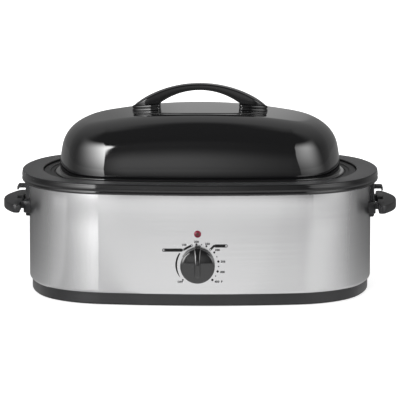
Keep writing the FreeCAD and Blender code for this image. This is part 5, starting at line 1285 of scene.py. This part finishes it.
def raised_pad():
    """The low oval pad pressed up under the handle, as a closed cap on the crown."""
    section = [(1.0, -0.6, 0.0)] + [(1.0, PAD_RISE - 0.7 + 0.7 * math.sin(math.pi / 2 * step / 4),
                                     -0.7 + 0.7 * math.cos(math.pi / 2 * step / 4)) for step in range(5)]
    section += [(part, PAD_RISE, 0.0) for part in (0.9, 0.75, 0.6, 0.45, 0.3, 0.15)]
    count = 120
    points, faces = [], []
    for step in range(count):
        turn = math.tau * step / count
        for part, rise, inset in section:
            x = (PAD_LENGTH * part + inset) * math.cos(turn)
            y = (PAD_DEPTH * part + inset) * math.sin(turn)
            points.append(Vector((x, y, crown_height(x, y) + rise)) * MM)
    depth = len(section)
    top, bottom = len(points), len(points) + 1
    points += [Vector((0, 0, LID_CROWN + PAD_RISE)) * MM, Vector((0, 0, LID_CROWN - 0.6)) * MM]
    for step in range(count):
        here, after = step * depth, (step + 1) % count * depth
        faces += [(here + row, after + row, after + row + 1, here + row + 1) for row in range(depth - 1)]
        faces += [(here + depth - 1, after + depth - 1, top), (here, bottom, after)]
    return points, faces


lid_dome = mesh_object("lid_dome", *lid_surface(), None, lid_glaze)
with_modifier(lid_dome, "SOLIDIFY", thickness=LID_SHEET * MM, offset=-1)
joined(lid_dome, mesh_object("lid_pad", *raised_pad(), None, lid_glaze))
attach(lid_dome, "lid")
settled(lid_dome, "black_enamel_gloss", "lid_shell", sharp=50)
dress(lid_glaze, "lid_shell")

# ---- Lid handle ------------------------------------------------------------------------------
# A polished black phenolic arch, thin at the top and a little wider at its ends, on two grooved
# collars that are shaped to the crown. A screw and a washer under the dome hold each end.
ARCH_TOP, ARCH_OUTER, ARCH_INNER, ARCH_THICK = 318.45, 170.0, 105.0, 9.4
ARCH_SEAT = 9.0                 # the arch's ends above the crown
ARCH_HALF_WIDTH, ARCH_FLARE = 11.5, 600.0
FOOT_START, FOOT_END, FOOT_CORNER = 62.0, 103.4, 22.0
COLLAR_HALF_WIDTH, COLLAR_BEAD, COLLAR_GROOVE, COLLAR_CORNER = 19.5, 1.4, 1.0, 5.0


def arch_half_width(x):
    corner = FOOT_END - FOOT_CORNER
    if abs(x) < corner * ARCH_FLARE / (ARCH_FLARE + FOOT_CORNER):
        return ARCH_HALF_WIDTH + ARCH_FLARE - math.sqrt(ARCH_FLARE ** 2 - x ** 2)
    start = ARCH_HALF_WIDTH + ARCH_FLARE - math.sqrt((ARCH_FLARE + FOOT_CORNER) ** 2 - corner ** 2)
    return start + math.sqrt(max(0.0, FOOT_CORNER ** 2 - (abs(x) - corner) ** 2))


def arch_section(x, inner):
    """The arch's section at x as points (y, z), with rounded edges."""
    top = ARCH_TOP - ARCH_OUTER + math.sqrt(ARCH_OUTER ** 2 - x ** 2)
    low = crown_height(x, 0) + ARCH_SEAT
    if inner:
        low = ARCH_TOP - ARCH_THICK - ARCH_INNER + math.sqrt(ARCH_INNER ** 2 - x ** 2)
    half = arch_half_width(x)
    upper = min(2.4, (top - low) * 0.45)
    lower = min(1.0, (top - low) * 0.3)
    corners = [(half - upper, top - upper, upper), (upper - half, top - upper, upper),
               (lower - half, low + lower, lower), (half - lower, low + lower, lower)]
    return [point for turn, (y, z, radius) in enumerate(corners)
            for point in round_corner((y, z), radius, 90 * turn, 90 * turn + 90, 6)]


def handle_arch():
    last = FOOT_END - 1.4
    stations = [FOOT_START + (last - FOOT_START) * step / 30 for step in range(31)]
    spans = [(-x, False) for x in stations[::-1]]
    spans += [(-FOOT_START + FOOT_START * step / 30, True) for step in range(61)]
    spans += [(x, False) for x in stations]
    return lofted([[Vector((x, y, z)) * MM for y, z in arch_section(x, inner)] for x, inner in spans])


def collar_profile():
    """(height above the crown, how far it stands out) up the collar: two round beads and a groove."""
    bead = (ARCH_SEAT - COLLAR_GROOVE) / 2
    beads = []
    for low in (0.0, bead + COLLAR_GROOVE):
        for step in range(9):
            turn = math.pi * step / 8
            beads.append((low + bead * (1 - math.cos(turn)) / 2, COLLAR_BEAD * math.sin(turn) ** 0.6))
    return beads


def collar_plan():
    """Half of the collar's plan, from the middle of its inner end round to its outer tip."""
    span = FOOT_END - FOOT_START
    side = COLLAR_HALF_WIDTH - COLLAR_CORNER
    inner = [(FOOT_START, side)]
    inner += round_corner((FOOT_START + COLLAR_CORNER, side - 0.3), COLLAR_CORNER, 180, 90, 6)[1:]
    turns = [math.pi / 2 * step / 26 for step in range(5, 27)]
    return inner + [(FOOT_START + span * math.sin(turn), COLLAR_HALF_WIDTH * math.cos(turn))
                    for turn in turns]


def collar(side):
    """One collar, as rings round the foot's plan; each ring stands out by its own amount."""
    half = collar_plan()
    plan = half + [(x, -y) for x, y in half[-2::-1]]
    middle = (FOOT_START + FOOT_END) / 2
    rings = []
    for height, out in collar_profile():
        wide, deep = 1 + out / (middle - FOOT_START), 1 + out / COLLAR_HALF_WIDTH
        grown_plan = [(middle + (x - middle) * wide, y * deep) for x, y in plan]
        rings.append([Vector((side * x, y, crown_height(x, y) + height)) * MM for x, y in grown_plan])
    return lofted(rings)


handle_gloss = gloss_moulding("polished_handle_moulding", 0.07, 0.6)
lid_arch = mesh_object("lid_arch", *handle_arch(), "lid", handle_gloss)
settled(lid_arch, "black_gloss_moulding", "lid_handle")
collars = mesh_object("handle_collars", *collar(1), "lid", handle_gloss)
joined(collars, mesh_object("far_collar", *collar(-1), None, handle_gloss))
settled(collars, "black_gloss_moulding", "lid_handle_feet")
dress(handle_gloss, "lid_handle", "lid_handle_feet")
dress(zinc, "lid_handle_screws", "lid_handle_washers")
LID_SCREW_X, LID_SCREW_SEAT = 84.0, 274.08
screws("handle_fixing_screws", "lid_handle_screws",
       [Vector((x, 0, LID_SCREW_SEAT)) * MM for x in (-LID_SCREW_X, LID_SCREW_X)],
       5.0, 19.0, "lid", shank=2.4, rise=3.3)
